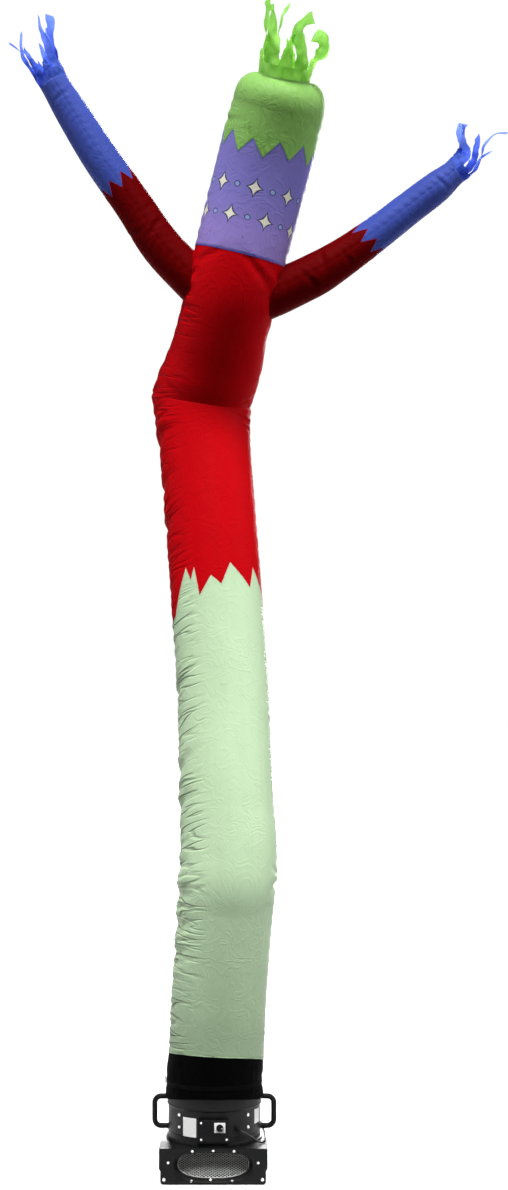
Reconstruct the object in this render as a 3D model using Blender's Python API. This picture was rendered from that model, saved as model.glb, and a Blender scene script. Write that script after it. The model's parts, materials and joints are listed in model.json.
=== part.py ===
"""Inflatable air dancer standing on its blower, modelled in metres, +Z up.

The origin is the centre of the blower's flat underside, on the ground.
+X is the dancer's left-to-right as seen from the front, -Y is the front.

Every cloth panel is a thin hollow shell swept along the bent centreline of the
inflated body or of an arm.  Panels meet edge to edge at their seams, a hair
apart, as their cut edges do.  The ragged seams are real zigzag cut edges.
"""

from collections import namedtuple
from math import ceil, cos, pi, radians, sin

import bmesh
import bpy
import numpy as np
from mathutils import Matrix, Vector

# ----------------------------------------------------------------- dimensions

GAP = 0.0003               # air between pieces that touch
SEAM_GAP = 0.0007          # air left along a zigzag seam, measured along the tube
SLEEVE_SEAM_GAP = 0.0014   # and where the tube stands on the black sleeve
NECK_GAP = 0.00018         # the same along the level seam of the neck
CLOTH = 0.0025             # thickness of the coated cloth
FRONT = Vector((0.0, -1.0, 0.0))

# Blower cabinet
BOX_HALF_WIDTH = 0.2495
BOX_FOOT_HALF_WIDTH = 0.2425
BOX_HALF_DEPTH = 0.250
BOX_HEIGHT = 0.165
BOX_STEP_LOW = 0.060       # the sides step out between these two heights
BOX_STEP_HIGH = 0.074
BOX_CORNER = 0.016
BOX_WALL = 0.003
INTAKE_HALF_WIDTH = 0.186
INTAKE_HALF_HEIGHT = 0.069
INTAKE_CENTRE_Z = 0.080
INTAKE_DEPTH = 0.045
INTAKE_NARROWING = 0.90    # size of the funnel's inner end against its mouth
INTAKE_WALL = 0.003
GRILLE_PITCH = 0.035
GRILLE_BAR = 0.004
GRILLE_THICKNESS = 0.003
GRILLE_EDGE_POWER = 2.2    # how squarely the lattice fills the oval

# Fan drum
DRUM_SIDES = 32
DRUM_RADIUS = 0.216
DRUM_INNER_RADIUS = 0.2085
DRUM_FOOT_RADIUS = 0.226
DRUM_FOOT_TOP = 0.172
DRUM_LIP_RADIUS = 0.2215
DRUM_LIP_LOW = 0.326
DRUM_LIP_TOP = 0.334
NECK_RADIUS = 0.2207       # the cuff of the sleeve is strapped round this
NECK_TOP = 0.462
NECK_WALL = 0.0035

HANDLE_TUBE_RADIUS = 0.0125
HANDLE_LOW = 0.214
HANDLE_HIGH = 0.352
HANDLE_REACH = 0.052       # how far the bar stands off the drum
HANDLE_BEND = 0.030
HANDLE_SIDES = 10
HANDLE_ARCH = 0.030        # the sleeve's hem rides up over each handle
HANDLE_ARCH_REACH = 20.0   # degrees either side of the handle

BOLT_ANGLE = 47.5
BOLT_HEIGHTS = (0.240, 0.297)
BOLT_RADIUS = 0.0085
BOLT_HEAD = 0.004
BOLT_SIDES = 10
FOOT_BOLT_RADIUS = 0.0080
FOOT_BOLT_INSET = 0.016    # from the cabinet's side
FOOT_BOLT_Z = 0.024

RATING_PLATE = (-40.5, -21.5, 0.204, 0.291)   # angles, then low and high edge
SIDE_PLATE = (61.0, 75.0, 0.246, 0.312)
PLATE_THICKNESS = 0.0012

CONTROL_HALF_WIDTH = 0.0725
CONTROL_LOW = 0.190
CONTROL_HIGH = 0.290
CONTROL_FACE = 0.238       # distance of its flat front from the drum's axis
CONTROL_CORNER = 0.004
SWITCH_CENTRE_X = 0.030
SWITCH_CENTRE_Z = 0.257
SWITCH_PLATE_WIDTH = 0.051
SWITCH_PLATE_HEIGHT = 0.046
SWITCH_PLATE_DEPTH = 0.003
KNOB_RADIUS = 0.0165
KNOB_HEIGHT = 0.008
KNOB_GRIP_HEIGHT = 0.016
KNOB_GRIP_WIDTH = 0.008
KNOB_GRIP_REACH = 0.018

GLAND_ANGLE = 30.0
GLAND_Z = 0.240
GLAND_LENGTH = 0.024
GLAND_RADIUS = 0.0115
GLAND_SIDES = 12

# Mains lead
CORD_RADIUS = 0.0040
CORD_LIFT = 0.0006         # the coil, plug and lead lie this far off the ground
CORD_STRAIGHT = (0.010, 0.021)   # straight run out of the gland
COIL_RADIUS = 0.053        # outer radius of the coiled spare length
COIL_INNER_RADIUS = 0.035
COIL_HEIGHT = 0.017
COIL_CHAMFER = 0.004
COIL_SIDES = 18
COIL_CENTRE = (0.055, 0.365)
PLUG_START = (0.0306, 0.0482)    # the plug's tail, from the coil's centre
PLUG_LENGTH = 0.046
PLUG_WIDTH = 0.026
PLUG_HEIGHT = 0.022
PLUG_SIDES = 8

# Strap that holds the sleeve on the drum's neck
STRAP_LOW = 0.4185
STRAP_HIGH = 0.4415
STRAP_THICKNESS = 0.0020
BUCKLE_ANGLE = -88.0
BUCKLE_WIDTH = 0.026
BUCKLE_HEIGHT = 0.041
BUCKLE_DEPTH = 0.006

# Seam heights of the body, as the height of its centreline
SLEEVE_TOP = 0.535
SLEEVE_TOP_RISE = 0.062    # how much higher the sleeve's edges run over the front
SLEEVE_HEM_RISES = (0.042, 0.018)   # at its hem and at the row above it
WAIST = 3.691
NECK_SEAM = 4.345
HAIRLINE = 4.850
CAP_START = 5.033
COLLAR_BASE = 5.165

# The narrow vent collar on the crown and the strips that stand on it
COLLAR_RADIUS = 0.1240
COLLAR_LENGTH = 0.055
COLLAR_LIP = 0.010

Station = namedtuple("Station", "x y z width")
SleeveRow = namedtuple("SleeveRow", "z radius")
HemPoint = namedtuple("HemPoint", "angle z")
Crease = namedtuple("Crease", "z angle reach depth half_width slant")
Strip = namedtuple("Strip", "angle length tip lean_mid lean_end sway_mid sway_end twist")
Waypoint = namedtuple("Waypoint", "x y z")

# The centreline of the body up to the waist, with the tube's width there.
LOWER_BODY = (
    Station(0.000, 0.000, 0.448, 0.448),
    Station(0.008, 0.000, 0.534, 0.449),
    Station(0.020, -0.030, 0.784, 0.448),
    Station(0.053, -0.108, 1.263, 0.454),
    Station(0.062, -0.125, 1.381, 0.462),
    Station(0.068, -0.118, 1.497, 0.455),
    Station(0.058, -0.085, 1.728, 0.446),
    Station(0.042, 0.010, 2.196, 0.436),
    Station(0.010, 0.107, 2.675, 0.440),
    Station(-0.029, 0.210, 3.165, 0.443),
    Station(-0.051, 0.268, 3.410, 0.447),
    Station(-0.075, 0.335, 3.691, 0.478),
)

# From the kink at the waist to the seam of the vent collar.
UPPER_BODY = (
    Station(-0.075, 0.335, 3.691, 0.478),
    Station(-0.047, 0.290, 3.764, 0.480),
    Station(-0.004, 0.222, 3.867, 0.466),
    Station(0.038, 0.118, 4.027, 0.438),
    Station(0.078, 0.052, 4.170, 0.440),
    Station(0.121, 0.020, 4.345, 0.444),
    Station(0.162, 0.010, 4.506, 0.448),
    Station(0.211, -0.016, 4.693, 0.448),
    Station(0.269, -0.070, 4.910, 0.446),
    Station(0.305, -0.116, 5.037, 0.438),
    Station(0.331, -0.172, 5.165, 0.436),
)

LEFT_ARM = (
    Station(-0.010, 0.040, 4.143, 0.206),
    Station(-0.120, 0.040, 4.253, 0.206),
    Station(-0.250, 0.044, 4.390, 0.199),
    Station(-0.394, 0.050, 4.602, 0.184),
    Station(-0.559, 0.060, 4.840, 0.177),
    Station(-0.710, 0.075, 5.085, 0.157),
    Station(-0.780, 0.080, 5.204, 0.143),
    Station(-0.804, 0.085, 5.250, 0.148),
)

RIGHT_ARM = (
    Station(0.172, 0.040, 4.124, 0.218),
    Station(0.296, 0.040, 4.176, 0.218),
    Station(0.400, 0.036, 4.222, 0.210),
    Station(0.494, 0.033, 4.268, 0.205),
    Station(0.574, 0.030, 4.316, 0.191),
    Station(0.774, 0.035, 4.458, 0.167),
    Station(0.929, 0.045, 4.581, 0.158),
    Station(1.087, 0.055, 4.705, 0.147),
    Station(1.151, 0.060, 4.760, 0.124),
    Station(1.192, 0.065, 4.795, 0.126),
)

# Distances along each arm, from its first station.
LEFT_RAGGED_SEAM = 0.705
LEFT_CUFF_SEAM = 1.316
LEFT_CUFF_LENGTH = 0.046
RIGHT_RAGGED_SEAM = 0.620
RIGHT_CUFF_SEAM = 1.175
RIGHT_CUFF_LENGTH = 0.042
ARM_COLUMNS = 16
SLEEVE_NOTCH = -0.034      # depth of the notches of a sleeve's ragged end
SLEEVE_TOOTH = 0.052       # and height of its teeth
SLEEVE_ROOT = 0.035        # where a sleeve's cloth starts, inside the torso
ARMHOLE_REACH = 0.42       # how far the arm hole's cutter runs out

# Head and crown
HEAD_COLUMNS = 22
HEAD_CLEARANCE = 1.016     # sleeves stay this much outside the head's width
HEAD_ROWS = 5
HAIR_NOTCH = -0.050
HAIR_TOOTH = 0.060
CAP_ROWS = (0.30, 0.55, 0.76, 0.90, 0.97)   # shares of the way over the dome
CAP_FULLNESS = (2.6, 1.9)  # powers of the dome's outline

# The black sleeve: loose hem, drawn in under the strap, full above it.
SLEEVE_ROWS = (
    SleeveRow(0.340, 0.2292),
    SleeveRow(0.382, 0.2278),
    SleeveRow(0.412, 0.2239),
    SleeveRow(0.448, 0.2239),
    SleeveRow(0.478, 0.2270),
    SleeveRow(0.510, 0.2262),
    SleeveRow(0.535, 0.2245),
)

# The ragged seam between trousers and shirt, going once round from the left
# side over the front.  Angles are from the front, positive to the right.
RAGGED_HEM = (
    HemPoint(-92.0, 2.575), HemPoint(-64.0, 2.615),
    HemPoint(-37.0, 2.822), HemPoint(-31.0, 2.758),
    HemPoint(-25.0, 2.817), HemPoint(-20.0, 2.679),
    HemPoint(-4.0, 2.769), HemPoint(8.0, 2.724),
    HemPoint(21.0, 2.825), HemPoint(48.0, 2.712),
    HemPoint(57.0, 2.812), HemPoint(68.0, 2.755),
    HemPoint(90.0, 2.650), HemPoint(106.0, 2.800),
    HemPoint(122.0, 2.700), HemPoint(140.0, 2.860),
    HemPoint(156.0, 2.735), HemPoint(174.0, 2.825),
    HemPoint(191.0, 2.705), HemPoint(208.0, 2.845),
    HemPoint(225.0, 2.715), HemPoint(246.0, 2.790),
)
WIDEST_COLUMN = 18.5       # degrees; wider stretches of cloth get more columns

# Soft troughs where the left seam is drawn together, and the dent on the right
# of the knee.  Slant is the rise in metres for each degree towards the front.
BODY_CREASES = (
    Crease(1.030, -84.0, 58.0, 0.011, 0.026, 0.0012),
    Crease(1.160, -82.0, 62.0, 0.012, 0.028, 0.0013),
    Crease(1.300, -86.0, 66.0, 0.012, 0.026, 0.0012),
    Crease(1.372, 92.0, 40.0, 0.014, 0.022, 0.0000),
    Crease(1.430, -90.0, 50.0, 0.009, 0.026, 0.0006),
    Crease(1.720, -86.0, 60.0, 0.010, 0.028, 0.0012),
    Crease(1.890, -84.0, 62.0, 0.011, 0.028, 0.0013),
    Crease(2.260, -86.0, 58.0, 0.010, 0.028, 0.0011),
    Crease(3.060, -84.0, 58.0, 0.010, 0.030, 0.0011),
    Crease(3.260, -84.0, 52.0, 0.009, 0.028, 0.0009),
    Crease(3.475, -82.0, 62.0, 0.012, 0.030, 0.0012),
)

# The two halves of the body meet at the waist in one sharp fold, like a mitre.
# The rings near it tilt step by step into the fold's plane.
FOLD_REACH = 0.260
FOLD_ROWS_BELOW = (0.37, 0.18, 0.05)         # rings near the fold, as shares
FOLD_ROWS_ABOVE = (0.05, 0.15, 0.31, 0.55)   # of the fold's reach
WAIST_LEAN = 1.15          # how far the fold's plane follows the upper body

# Strips on the crown: angle round the collar from the front, length, tip width
# against the root, then lean inwards and sway sideways in degrees, at half
# length and at the tip, and the twist at the tip.
HAIR_STRIPS = (
    Strip(-36.0, 0.270, 1.00, 2.0, 0.0, -10.0, -34.0, 150.0),
    Strip(0.0, 0.170, 0.25, -8.0, -14.0, 6.0, 10.0, 60.0),
    Strip(36.0, 0.285, 0.90, 4.0, -6.0, -30.0, 84.0, 20.0),
    Strip(72.0, 0.205, 0.90, -38.0, 112.0, 0.0, 4.0, 110.0),
    Strip(108.0, 0.150, 0.40, -50.0, 20.0, 0.0, 0.0, 70.0),
    Strip(144.0, 0.060, 0.30, 0.0, 6.0, 6.0, 10.0, 20.0),
    Strip(180.0, 0.100, 0.30, 4.0, 0.0, 8.0, 16.0, -20.0),
    Strip(216.0, 0.255, 0.50, 4.0, -6.0, -4.0, -18.0, 80.0),
    Strip(252.0, 0.265, 0.70, -6.0, -14.0, -4.0, 4.0, 60.0),
    Strip(288.0, 0.140, 0.30, 14.0, 16.0, 8.0, 12.0, 25.0),
)

LEFT_STRIPS = (
    Strip(-80.0, 0.265, 0.25, 2.0, 36.0, -4.0, 4.0, 60.0),
    Strip(-40.0, 0.165, 0.30, 2.0, 0.0, -8.0, -2.0, 30.0),
    Strip(0.0, 0.055, 0.40, 0.0, 4.0, 4.0, 10.0, 10.0),
    Strip(40.0, 0.275, 0.60, -6.0, 12.0, 6.0, 24.0, -120.0),
    Strip(80.0, 0.265, 1.00, -18.0, -26.0, -10.0, 4.0, 80.0),
    Strip(120.0, 0.250, 0.80, -12.0, -20.0, 4.0, -14.0, -60.0),
    Strip(160.0, 0.190, 0.35, -4.0, -8.0, 4.0, -16.0, 35.0),
    Strip(200.0, 0.110, 0.30, 0.0, 8.0, -4.0, -14.0, -25.0),
    Strip(240.0, 0.265, 0.20, 0.0, -34.0, 2.0, -8.0, 40.0),
)

RIGHT_STRIPS = (
    Strip(-84.0, 0.070, 0.40, -14.0, -24.0, -6.0, 0.0, 25.0),
    Strip(-44.0, 0.090, 0.35, 8.0, 14.0, -44.0, -50.0, -30.0),
    Strip(-10.0, 0.220, 1.00, 0.0, 6.0, -78.0, -20.0, 20.0),
    Strip(36.0, 0.175, 0.60, 0.0, 10.0, -46.0, -54.0, -40.0),
    Strip(76.0, 0.320, 0.35, 42.0, -46.0, 0.0, 10.0, 60.0),
    Strip(116.0, 0.180, 0.25, 26.0, -20.0, 0.0, -6.0, 30.0),
    Strip(156.0, 0.090, 0.35, 0.0, -6.0, 20.0, 34.0, 20.0),
    Strip(196.0, 0.120, 0.35, -4.0, -8.0, 34.0, 50.0, -25.0),
    Strip(236.0, 0.190, 0.80, -6.0, -10.0, 54.0, 56.0, 20.0),
)

# The lead over the cabinet's top, down its back and along the ground.
LEAD_TOP = BOX_HEIGHT + CORD_RADIUS + 0.0012
LEAD_FLOOR = CORD_RADIUS + CORD_LIFT
LEAD_ROUTE = (
    Waypoint(0.1560, -0.2220, 0.2260),
    Waypoint(0.1940, -0.1920, 0.1920),
    Waypoint(0.2210, -0.1480, LEAD_TOP),
    Waypoint(0.2380, -0.0960, LEAD_TOP),
    Waypoint(0.2400, -0.0200, LEAD_TOP),
    Waypoint(0.2390, 0.0600, LEAD_TOP),
    Waypoint(0.2340, 0.1500, LEAD_TOP),
    Waypoint(0.2260, 0.2100, LEAD_TOP + 0.001),
    Waypoint(0.2200, 0.2460, LEAD_TOP + 0.004),
    Waypoint(0.2150, 0.2670, 0.1570),
    Waypoint(0.2085, 0.2690, 0.1000),
    Waypoint(0.2032, 0.2691, 0.0496),
    Waypoint(0.1981, 0.2723, 0.0271),
    Waypoint(0.1841, 0.2810, 0.0106),
    Waypoint(0.1650, 0.2930, LEAD_FLOOR),
    Waypoint(0.1385, 0.3065, LEAD_FLOOR),
    Waypoint(0.1120, 0.3144, LEAD_FLOOR),
    Waypoint(0.0840, 0.3168, LEAD_FLOOR),
)

STRIP_SHARE = 0.90         # of the collar's edge that the strips take up
STRIP_STEPS = 6
STRIP_TAPER = 0.8          # below 1 a strip narrows mostly near its root
STRIP_THICKNESS = 0.0016
RIBBON_WAVE = 6.0          # degrees of flutter along a strip


# ------------------------------------------------------------ scene and finish

def clear_scene():
    """Remove every object that the opened file holds."""
    for old in list(bpy.data.objects):
        bpy.data.objects.remove(old, do_unlink=True)


def finish(name, colour, roughness, metallic=0.0):
    """Return a Principled material of one colour."""
    material = bpy.data.materials.new(name)
    material.use_nodes = True
    shader = material.node_tree.nodes["Principled BSDF"]
    shader.inputs["Base Color"].default_value = (*colour, 1.0)
    shader.inputs["Roughness"].default_value = roughness
    shader.inputs["Metallic"].default_value = metallic
    material.diffuse_color = (*colour, 1.0)
    return material


def add_object(name, mesh, material):
    """Link a mesh to the scene as a named object with its own finish."""
    part = bpy.data.objects.new(name, mesh)
    bpy.context.scene.collection.objects.link(part)
    if material is not None:
        mesh.materials.clear()
        mesh.materials.append(material)
    return part


def mesh_from(name, points, faces, smooth_angle=35.0):
    """Make a mesh whose faces all point outwards."""
    mesh = bpy.data.meshes.new(name)
    mesh.from_pydata([tuple(p) for p in points], [], faces)
    work = bmesh.new()
    work.from_mesh(mesh)
    bmesh.ops.recalc_face_normals(work, faces=work.faces)
    if work.calc_volume(signed=True) < 0.0:
        bmesh.ops.reverse_faces(work, faces=work.faces)
    work.to_mesh(mesh)
    work.free()
    if mesh.polygons:
        mesh.shade_smooth()
        mesh.set_sharp_from_angle(angle=radians(smooth_angle))
    return mesh


def add_cutter(name, mesh):
    """Add an object that only shapes others."""
    cutter = add_object(name, mesh, None)
    cutter.hide_render = True
    cutter.display_type = "WIRE"
    return cutter


def subtract(part, cutter):
    """Cut one object out of another and keep the result live."""
    step = part.modifiers.new("cut_" + cutter.name, "BOOLEAN")
    step.operation = "DIFFERENCE"
    step.solver = "EXACT"
    step.object = cutter


# --------------------------------------------------------------- curves, tubes

def smooth_values(knots, values, at):
    """Read a smooth curve through a table's rows at the places asked for."""
    knots = np.asarray(knots, float)
    values = np.asarray(values, float)
    at = np.clip(np.asarray(at, float), knots[0], knots[-1])
    slopes = np.gradient(values, knots, axis=0)
    low = np.clip(np.searchsorted(knots, at, side="right") - 1, 0, len(knots) - 2)
    span = (knots[low + 1] - knots[low])[..., None]
    t = ((at - knots[low]) / span[..., 0])[..., None]
    rise = t * t * (3.0 - 2.0 * t)
    start = t * (1.0 - t) ** 2
    end = t * t * (t - 1.0)
    return ((1.0 - rise) * values[low] + rise * values[low + 1]
            + span * (start * slopes[low] + end * slopes[low + 1]))


class Tube:
    """A bent inflated tube: a centreline with a width at every station."""

    def __init__(self, stations, by_height):
        rows = np.array(stations, float)
        self.points = rows[:, :3]
        self.widths = rows[:, 3:]
        steps = np.linalg.norm(np.diff(self.points, axis=0), axis=1)
        along = np.concatenate(([0.0], np.cumsum(steps)))
        self.knots = rows[:, 2] if by_height else along

    def centre(self, at):
        return smooth_values(self.knots, self.points, at)

    def radius(self, at):
        return smooth_values(self.knots, self.widths, at)[..., 0] / 2.0

    def direction(self, at):
        step = 0.004
        at = np.clip(at, self.knots[0] + step, self.knots[-1] - step)
        ahead = self.centre(at + step) - self.centre(at - step)
        return ahead / np.linalg.norm(ahead, axis=-1, keepdims=True)


def across(direction):
    """Return the rightward and backward vectors square to a direction."""
    right = np.cross(np.array((0.0, 1.0, 0.0)), direction)
    right = right / np.linalg.norm(right, axis=-1, keepdims=True)
    return right, np.cross(direction, right)


def ring(centre, direction, angles, radius):
    """Points round a centre; an angle of 0 faces the front, 90 the right."""
    right, back = across(direction)
    turn = np.radians(angles)
    return (centre + (radius * np.sin(turn))[:, None] * right
            - (radius * np.cos(turn))[:, None] * back)


def crease_depth(creases, z, angles):
    """How far the creases draw the cloth in, at a height and at some angles."""
    depth = np.zeros(len(angles))
    for crease in creases:
        off = (np.asarray(angles) - crease.angle + 180.0) % 360.0 - 180.0
        window = np.where(abs(off) < crease.reach,
                          np.cos(off / crease.reach * pi / 2.0) ** 2, 0.0)
        middle = crease.z + crease.slant * off
        depth += crease.depth * window * np.exp(-((z - middle) / crease.half_width) ** 2)
    return depth


def waist_fold(lower, upper):
    """The fold's plane at the waist, and the turn between the two halves' angles."""
    low, high = lower.direction(WAIST), upper.direction(WAIST)
    hinge = np.cross(low, high)
    places = []
    for direction in (low, high):
        right, back = across(direction)
        places.append(np.degrees(np.arctan2(hinge @ right, -(hinge @ back))))
    plane = low + high * WAIST_LEAN
    return plane / np.linalg.norm(plane), places[1] - places[0]


def body_ring(lower, upper, z, angles):
    """One ring of the body's outer surface, at one height for every angle."""
    heights = np.broadcast_to(np.asarray(z, float), np.shape(angles))
    fold, twist = waist_fold(lower, upper)
    points = np.empty((len(angles), 3))
    for column, (height, angle) in enumerate(zip(heights, angles)):
        tube = lower if height < WAIST else upper
        centre, direction = tube.centre(height), tube.direction(height)
        away = np.linalg.norm(centre - tube.centre(WAIST))
        share = max(0.0, 1.0 - away / FOLD_REACH)
        plane = direction * (1.0 - share) + fold * share
        radius = tube.radius(height) - crease_depth(BODY_CREASES, height, [angle])[0]
        turn = angle + (twist * share if tube is upper else 0.0)
        level = ring(np.zeros(3), direction, [turn], np.array([radius]))[0]
        points[column] = centre + level - direction * (level @ plane) / (direction @ plane)
    return points


# ------------------------------------------------------------------ cloth shells

def wall_normals(grid):
    """Outward normals of a grid of rings, from its own rows and columns."""
    round_step = np.roll(grid, -1, axis=1) - np.roll(grid, 1, axis=1)
    up_step = np.gradient(grid, axis=0)
    normals = np.cross(round_step, up_step)
    normals = normals / np.linalg.norm(normals, axis=2, keepdims=True)
    from_middle = grid - grid.mean(axis=1, keepdims=True)
    return normals if (normals * from_middle).sum() > 0.0 else -normals


def shell_faces(rows, columns):
    """Faces of a hollow wall: outer grid, inner grid and the two end rims."""
    faces = []
    inner = rows * columns
    for row in range(rows - 1):
        for column in range(columns):
            after = (column + 1) % columns
            a = row * columns + column
            b = row * columns + after
            c = (row + 1) * columns + after
            d = (row + 1) * columns + column
            faces.append((a, b, c, d))
            faces.append((inner + a, inner + d, inner + c, inner + b))
    last = (rows - 1) * columns
    for column in range(columns):
        after = (column + 1) % columns
        faces.append((inner + column, inner + after, after, column))
        faces.append((last + column, last + after,
                      inner + last + after, inner + last + column))
    return faces


def shell_points(grid, thickness):
    """Outer and inner points of a wall; the end rims stay square to the tube."""
    inward = -wall_normals(grid)
    for row in (0, -1):
        middle = grid[row].mean(axis=0)
        radial = middle - grid[row]
        inward[row] = radial / np.linalg.norm(radial, axis=1, keepdims=True)
    inner = grid + inward * thickness
    return np.concatenate((grid.reshape(-1, 3), inner.reshape(-1, 3)))


def cloth_shell(name, grid, material, thickness=CLOTH):
    """Make a hollow cloth panel from the grid of its outer surface."""
    rows, columns = grid.shape[:2]
    mesh = mesh_from(name, shell_points(grid, thickness), shell_faces(rows, columns))
    return add_object(name, mesh, material)


def capped_solid(name, grid):
    """Make a filled solid from a grid of rings."""
    rows, columns = grid.shape[:2]
    faces = [tuple(range(columns))]
    for row in range(rows - 1):
        for column in range(columns):
            after = (column + 1) % columns
            faces.append((row * columns + column, row * columns + after,
                          (row + 1) * columns + after, (row + 1) * columns + column))
    faces.append(tuple((rows - 1) * columns + c for c in range(columns)))
    return mesh_from(name, grid.reshape(-1, 3), faces)


def hem_columns():
    """Angles of the body's columns: every hem point, and more between them."""
    angles = [point.angle for point in RAGGED_HEM]
    columns = []
    for this, following in zip(angles, angles[1:] + [angles[0] + 360.0]):
        pieces = max(1, ceil((following - this) / WIDEST_COLUMN))
        columns += [this + (following - this) * k / pieces for k in range(pieces)]
    return np.array(columns)


def hem_height(angles):
    """Height of the ragged hem at some angles."""
    table = np.array(RAGGED_HEM, float)
    closed = np.vstack((table, (table[0, 0] + 360.0, table[0, 1])))
    turned = (np.asarray(angles) - closed[0, 0]) % 360.0 + closed[0, 0]
    return np.interp(turned, closed[:, 0], closed[:, 1])


def ragged_edge(columns, low, high):
    """Offsets of an uneven zigzag: odd columns are teeth, even ones notches."""
    offsets = []
    for column in range(columns):
        swing = 0.5 + 0.5 * sin(2.3 * column + 0.6)
        if column % 2:
            offsets.append(high * (0.62 + 0.38 * swing))
        else:
            offsets.append(low * (0.55 + 0.45 * swing))
    return np.array(offsets)


def crease_rows(low, high, widest):
    """Heights of rings between two seams: three for each crease, then fillers."""
    heights = {low, high}
    for crease in BODY_CREASES:
        for side in (-1.15, 0.0, 1.15):
            z = crease.z + side * crease.half_width
            if low + 0.02 < z < high - 0.02:
                heights.add(z)
    ordered = sorted(heights)
    filled = []
    for this, following in zip(ordered, ordered[1:]):
        pieces = max(1, ceil((following - this) / widest))
        filled += [this + (following - this) * k / pieces for k in range(pieces)]
    return filled + [high]


def thin_rows(heights, closest):
    """Drop rings that come closer together than a crease needs."""
    kept = [heights[0]]
    for z in heights[1:-1]:
        if z - kept[-1] >= closest and heights[-1] - z >= closest:
            kept.append(z)
    return kept + [heights[-1]]


# ---------------------------------------------------------------- body panels

def front_rise(angles, rise):
    """An edge that is level round the back and swings up over the front."""
    return rise * np.maximum(0.0, np.cos(np.radians(angles)))


def add_base_sleeve(lower, upper, material):
    """Black sleeve, upright where it is strapped and leaning with the tube above."""
    angles = np.arange(DRUM_SIDES) * 360.0 / DRUM_SIDES
    up = np.array((0.0, 0.0, 1.0))
    upright_to = LOWER_BODY[0].z
    grid = []
    for row in SLEEVE_ROWS:
        lean = max(0.0, (row.z - upright_to) / (SLEEVE_TOP - upright_to))
        direction = up + (lower.direction(row.z) - up) * lean
        centre = lower.centre(row.z) if lean > 0.0 else np.array((0.0, 0.0, row.z))
        grid.append(ring(centre, direction / np.linalg.norm(direction), angles,
                         np.full(DRUM_SIDES, row.radius)))
    grid = np.array(grid)
    from_side = abs(abs((angles + 180.0) % 360.0 - 180.0) - 90.0)
    grid[0, :, 2] += HANDLE_ARCH * np.clip(1.0 - from_side / HANDLE_ARCH_REACH, 0.0, 1.0)
    for row, rise in enumerate(SLEEVE_HEM_RISES):
        grid[row, :, 2] += front_rise(angles, rise)
    grid[-1] = body_ring(lower, upper, SLEEVE_TOP + front_rise(angles, SLEEVE_TOP_RISE), angles)
    return cloth_shell("base_sleeve", grid, material)


def add_cinch_strap(material):
    """Webbing strap drawn tight round the sleeve."""
    angles = np.arange(DRUM_SIDES) * 360.0 / DRUM_SIDES
    up = np.array((0.0, 0.0, 1.0))
    outer = SLEEVE_ROWS[2].radius + GAP + STRAP_THICKNESS
    grid = np.array([ring(np.array((0.0, 0.0, z)), up, angles,
                          np.full(DRUM_SIDES, outer)) for z in (STRAP_LOW, STRAP_HIGH)])
    return cloth_shell("cinch_strap", grid, material, STRAP_THICKNESS)


def add_strap_buckle(material):
    """Flat cam buckle on the strap, on the left side."""
    inner = (SLEEVE_ROWS[2].radius + 2.0 * GAP + STRAP_THICKNESS)
    middle = (STRAP_LOW + STRAP_HIGH) / 2.0
    profile = [(0.0, -BUCKLE_HEIGHT / 2), (BUCKLE_DEPTH * 0.6, -BUCKLE_HEIGHT / 2),
               (BUCKLE_DEPTH, -BUCKLE_HEIGHT * 0.36), (BUCKLE_DEPTH, -BUCKLE_HEIGHT * 0.10),
               (BUCKLE_DEPTH * 0.6, 0.0), (BUCKLE_DEPTH, BUCKLE_HEIGHT * 0.12),
               (BUCKLE_DEPTH * 1.3, BUCKLE_HEIGHT * 0.40),
               (BUCKLE_DEPTH * 0.7, BUCKLE_HEIGHT / 2), (0.0, BUCKLE_HEIGHT / 2)]
    turn = radians(BUCKLE_ANGLE)
    out = np.array((sin(turn), -cos(turn), 0.0))
    side = np.array((cos(turn), sin(turn), 0.0))
    up = np.array((0.0, 0.0, 1.0))
    grid = np.array([[out * (inner + depth) + side * half + up * (middle + height)
                      for depth, height in profile]
                     for half in (-BUCKLE_WIDTH / 2, BUCKLE_WIDTH / 2)])
    return add_object("strap_buckle", capped_solid("strap_buckle", grid), material)


def add_trouser_panel(lower, upper, angles, material):
    """Pale green leg of the tube, up to the ragged hem."""
    hem = hem_height(angles) - SEAM_GAP
    top = min(hem) - 0.035
    start = SLEEVE_TOP + SLEEVE_SEAM_GAP
    rows = thin_rows(crease_rows(start, top, 0.24), 0.020)
    grid = [body_ring(lower, upper, start + front_rise(angles, SLEEVE_TOP_RISE), angles)]
    grid += [body_ring(lower, upper, z, angles) for z in rows[1:]]
    grid.append(body_ring(lower, upper, hem, angles))
    return cloth_shell("trouser_panel", np.array(grid), material)


def shirt_rows(lower, upper, angles):
    """Rings of the shirt, from the ragged hem over the waist to the neck."""
    hem = hem_height(angles) + SEAM_GAP
    start = max(hem) + 0.040
    grid = [body_ring(lower, upper, hem, angles)]
    grid.append(body_ring(lower, upper, hem + (start - hem) * 0.5, angles))
    below = thin_rows(crease_rows(start, WAIST - FOLD_REACH * 0.64, 0.20), 0.020)
    fold = [WAIST - FOLD_REACH * share for share in FOLD_ROWS_BELOW]
    above = [WAIST + FOLD_REACH * share for share in FOLD_ROWS_ABOVE]
    body = np.linspace(above[-1] + 0.090, NECK_SEAM - NECK_GAP, 6)
    for z in below + fold + [WAIST] + above + list(body):
        grid.append(body_ring(lower, upper, z, angles))
    return np.array(grid)


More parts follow.
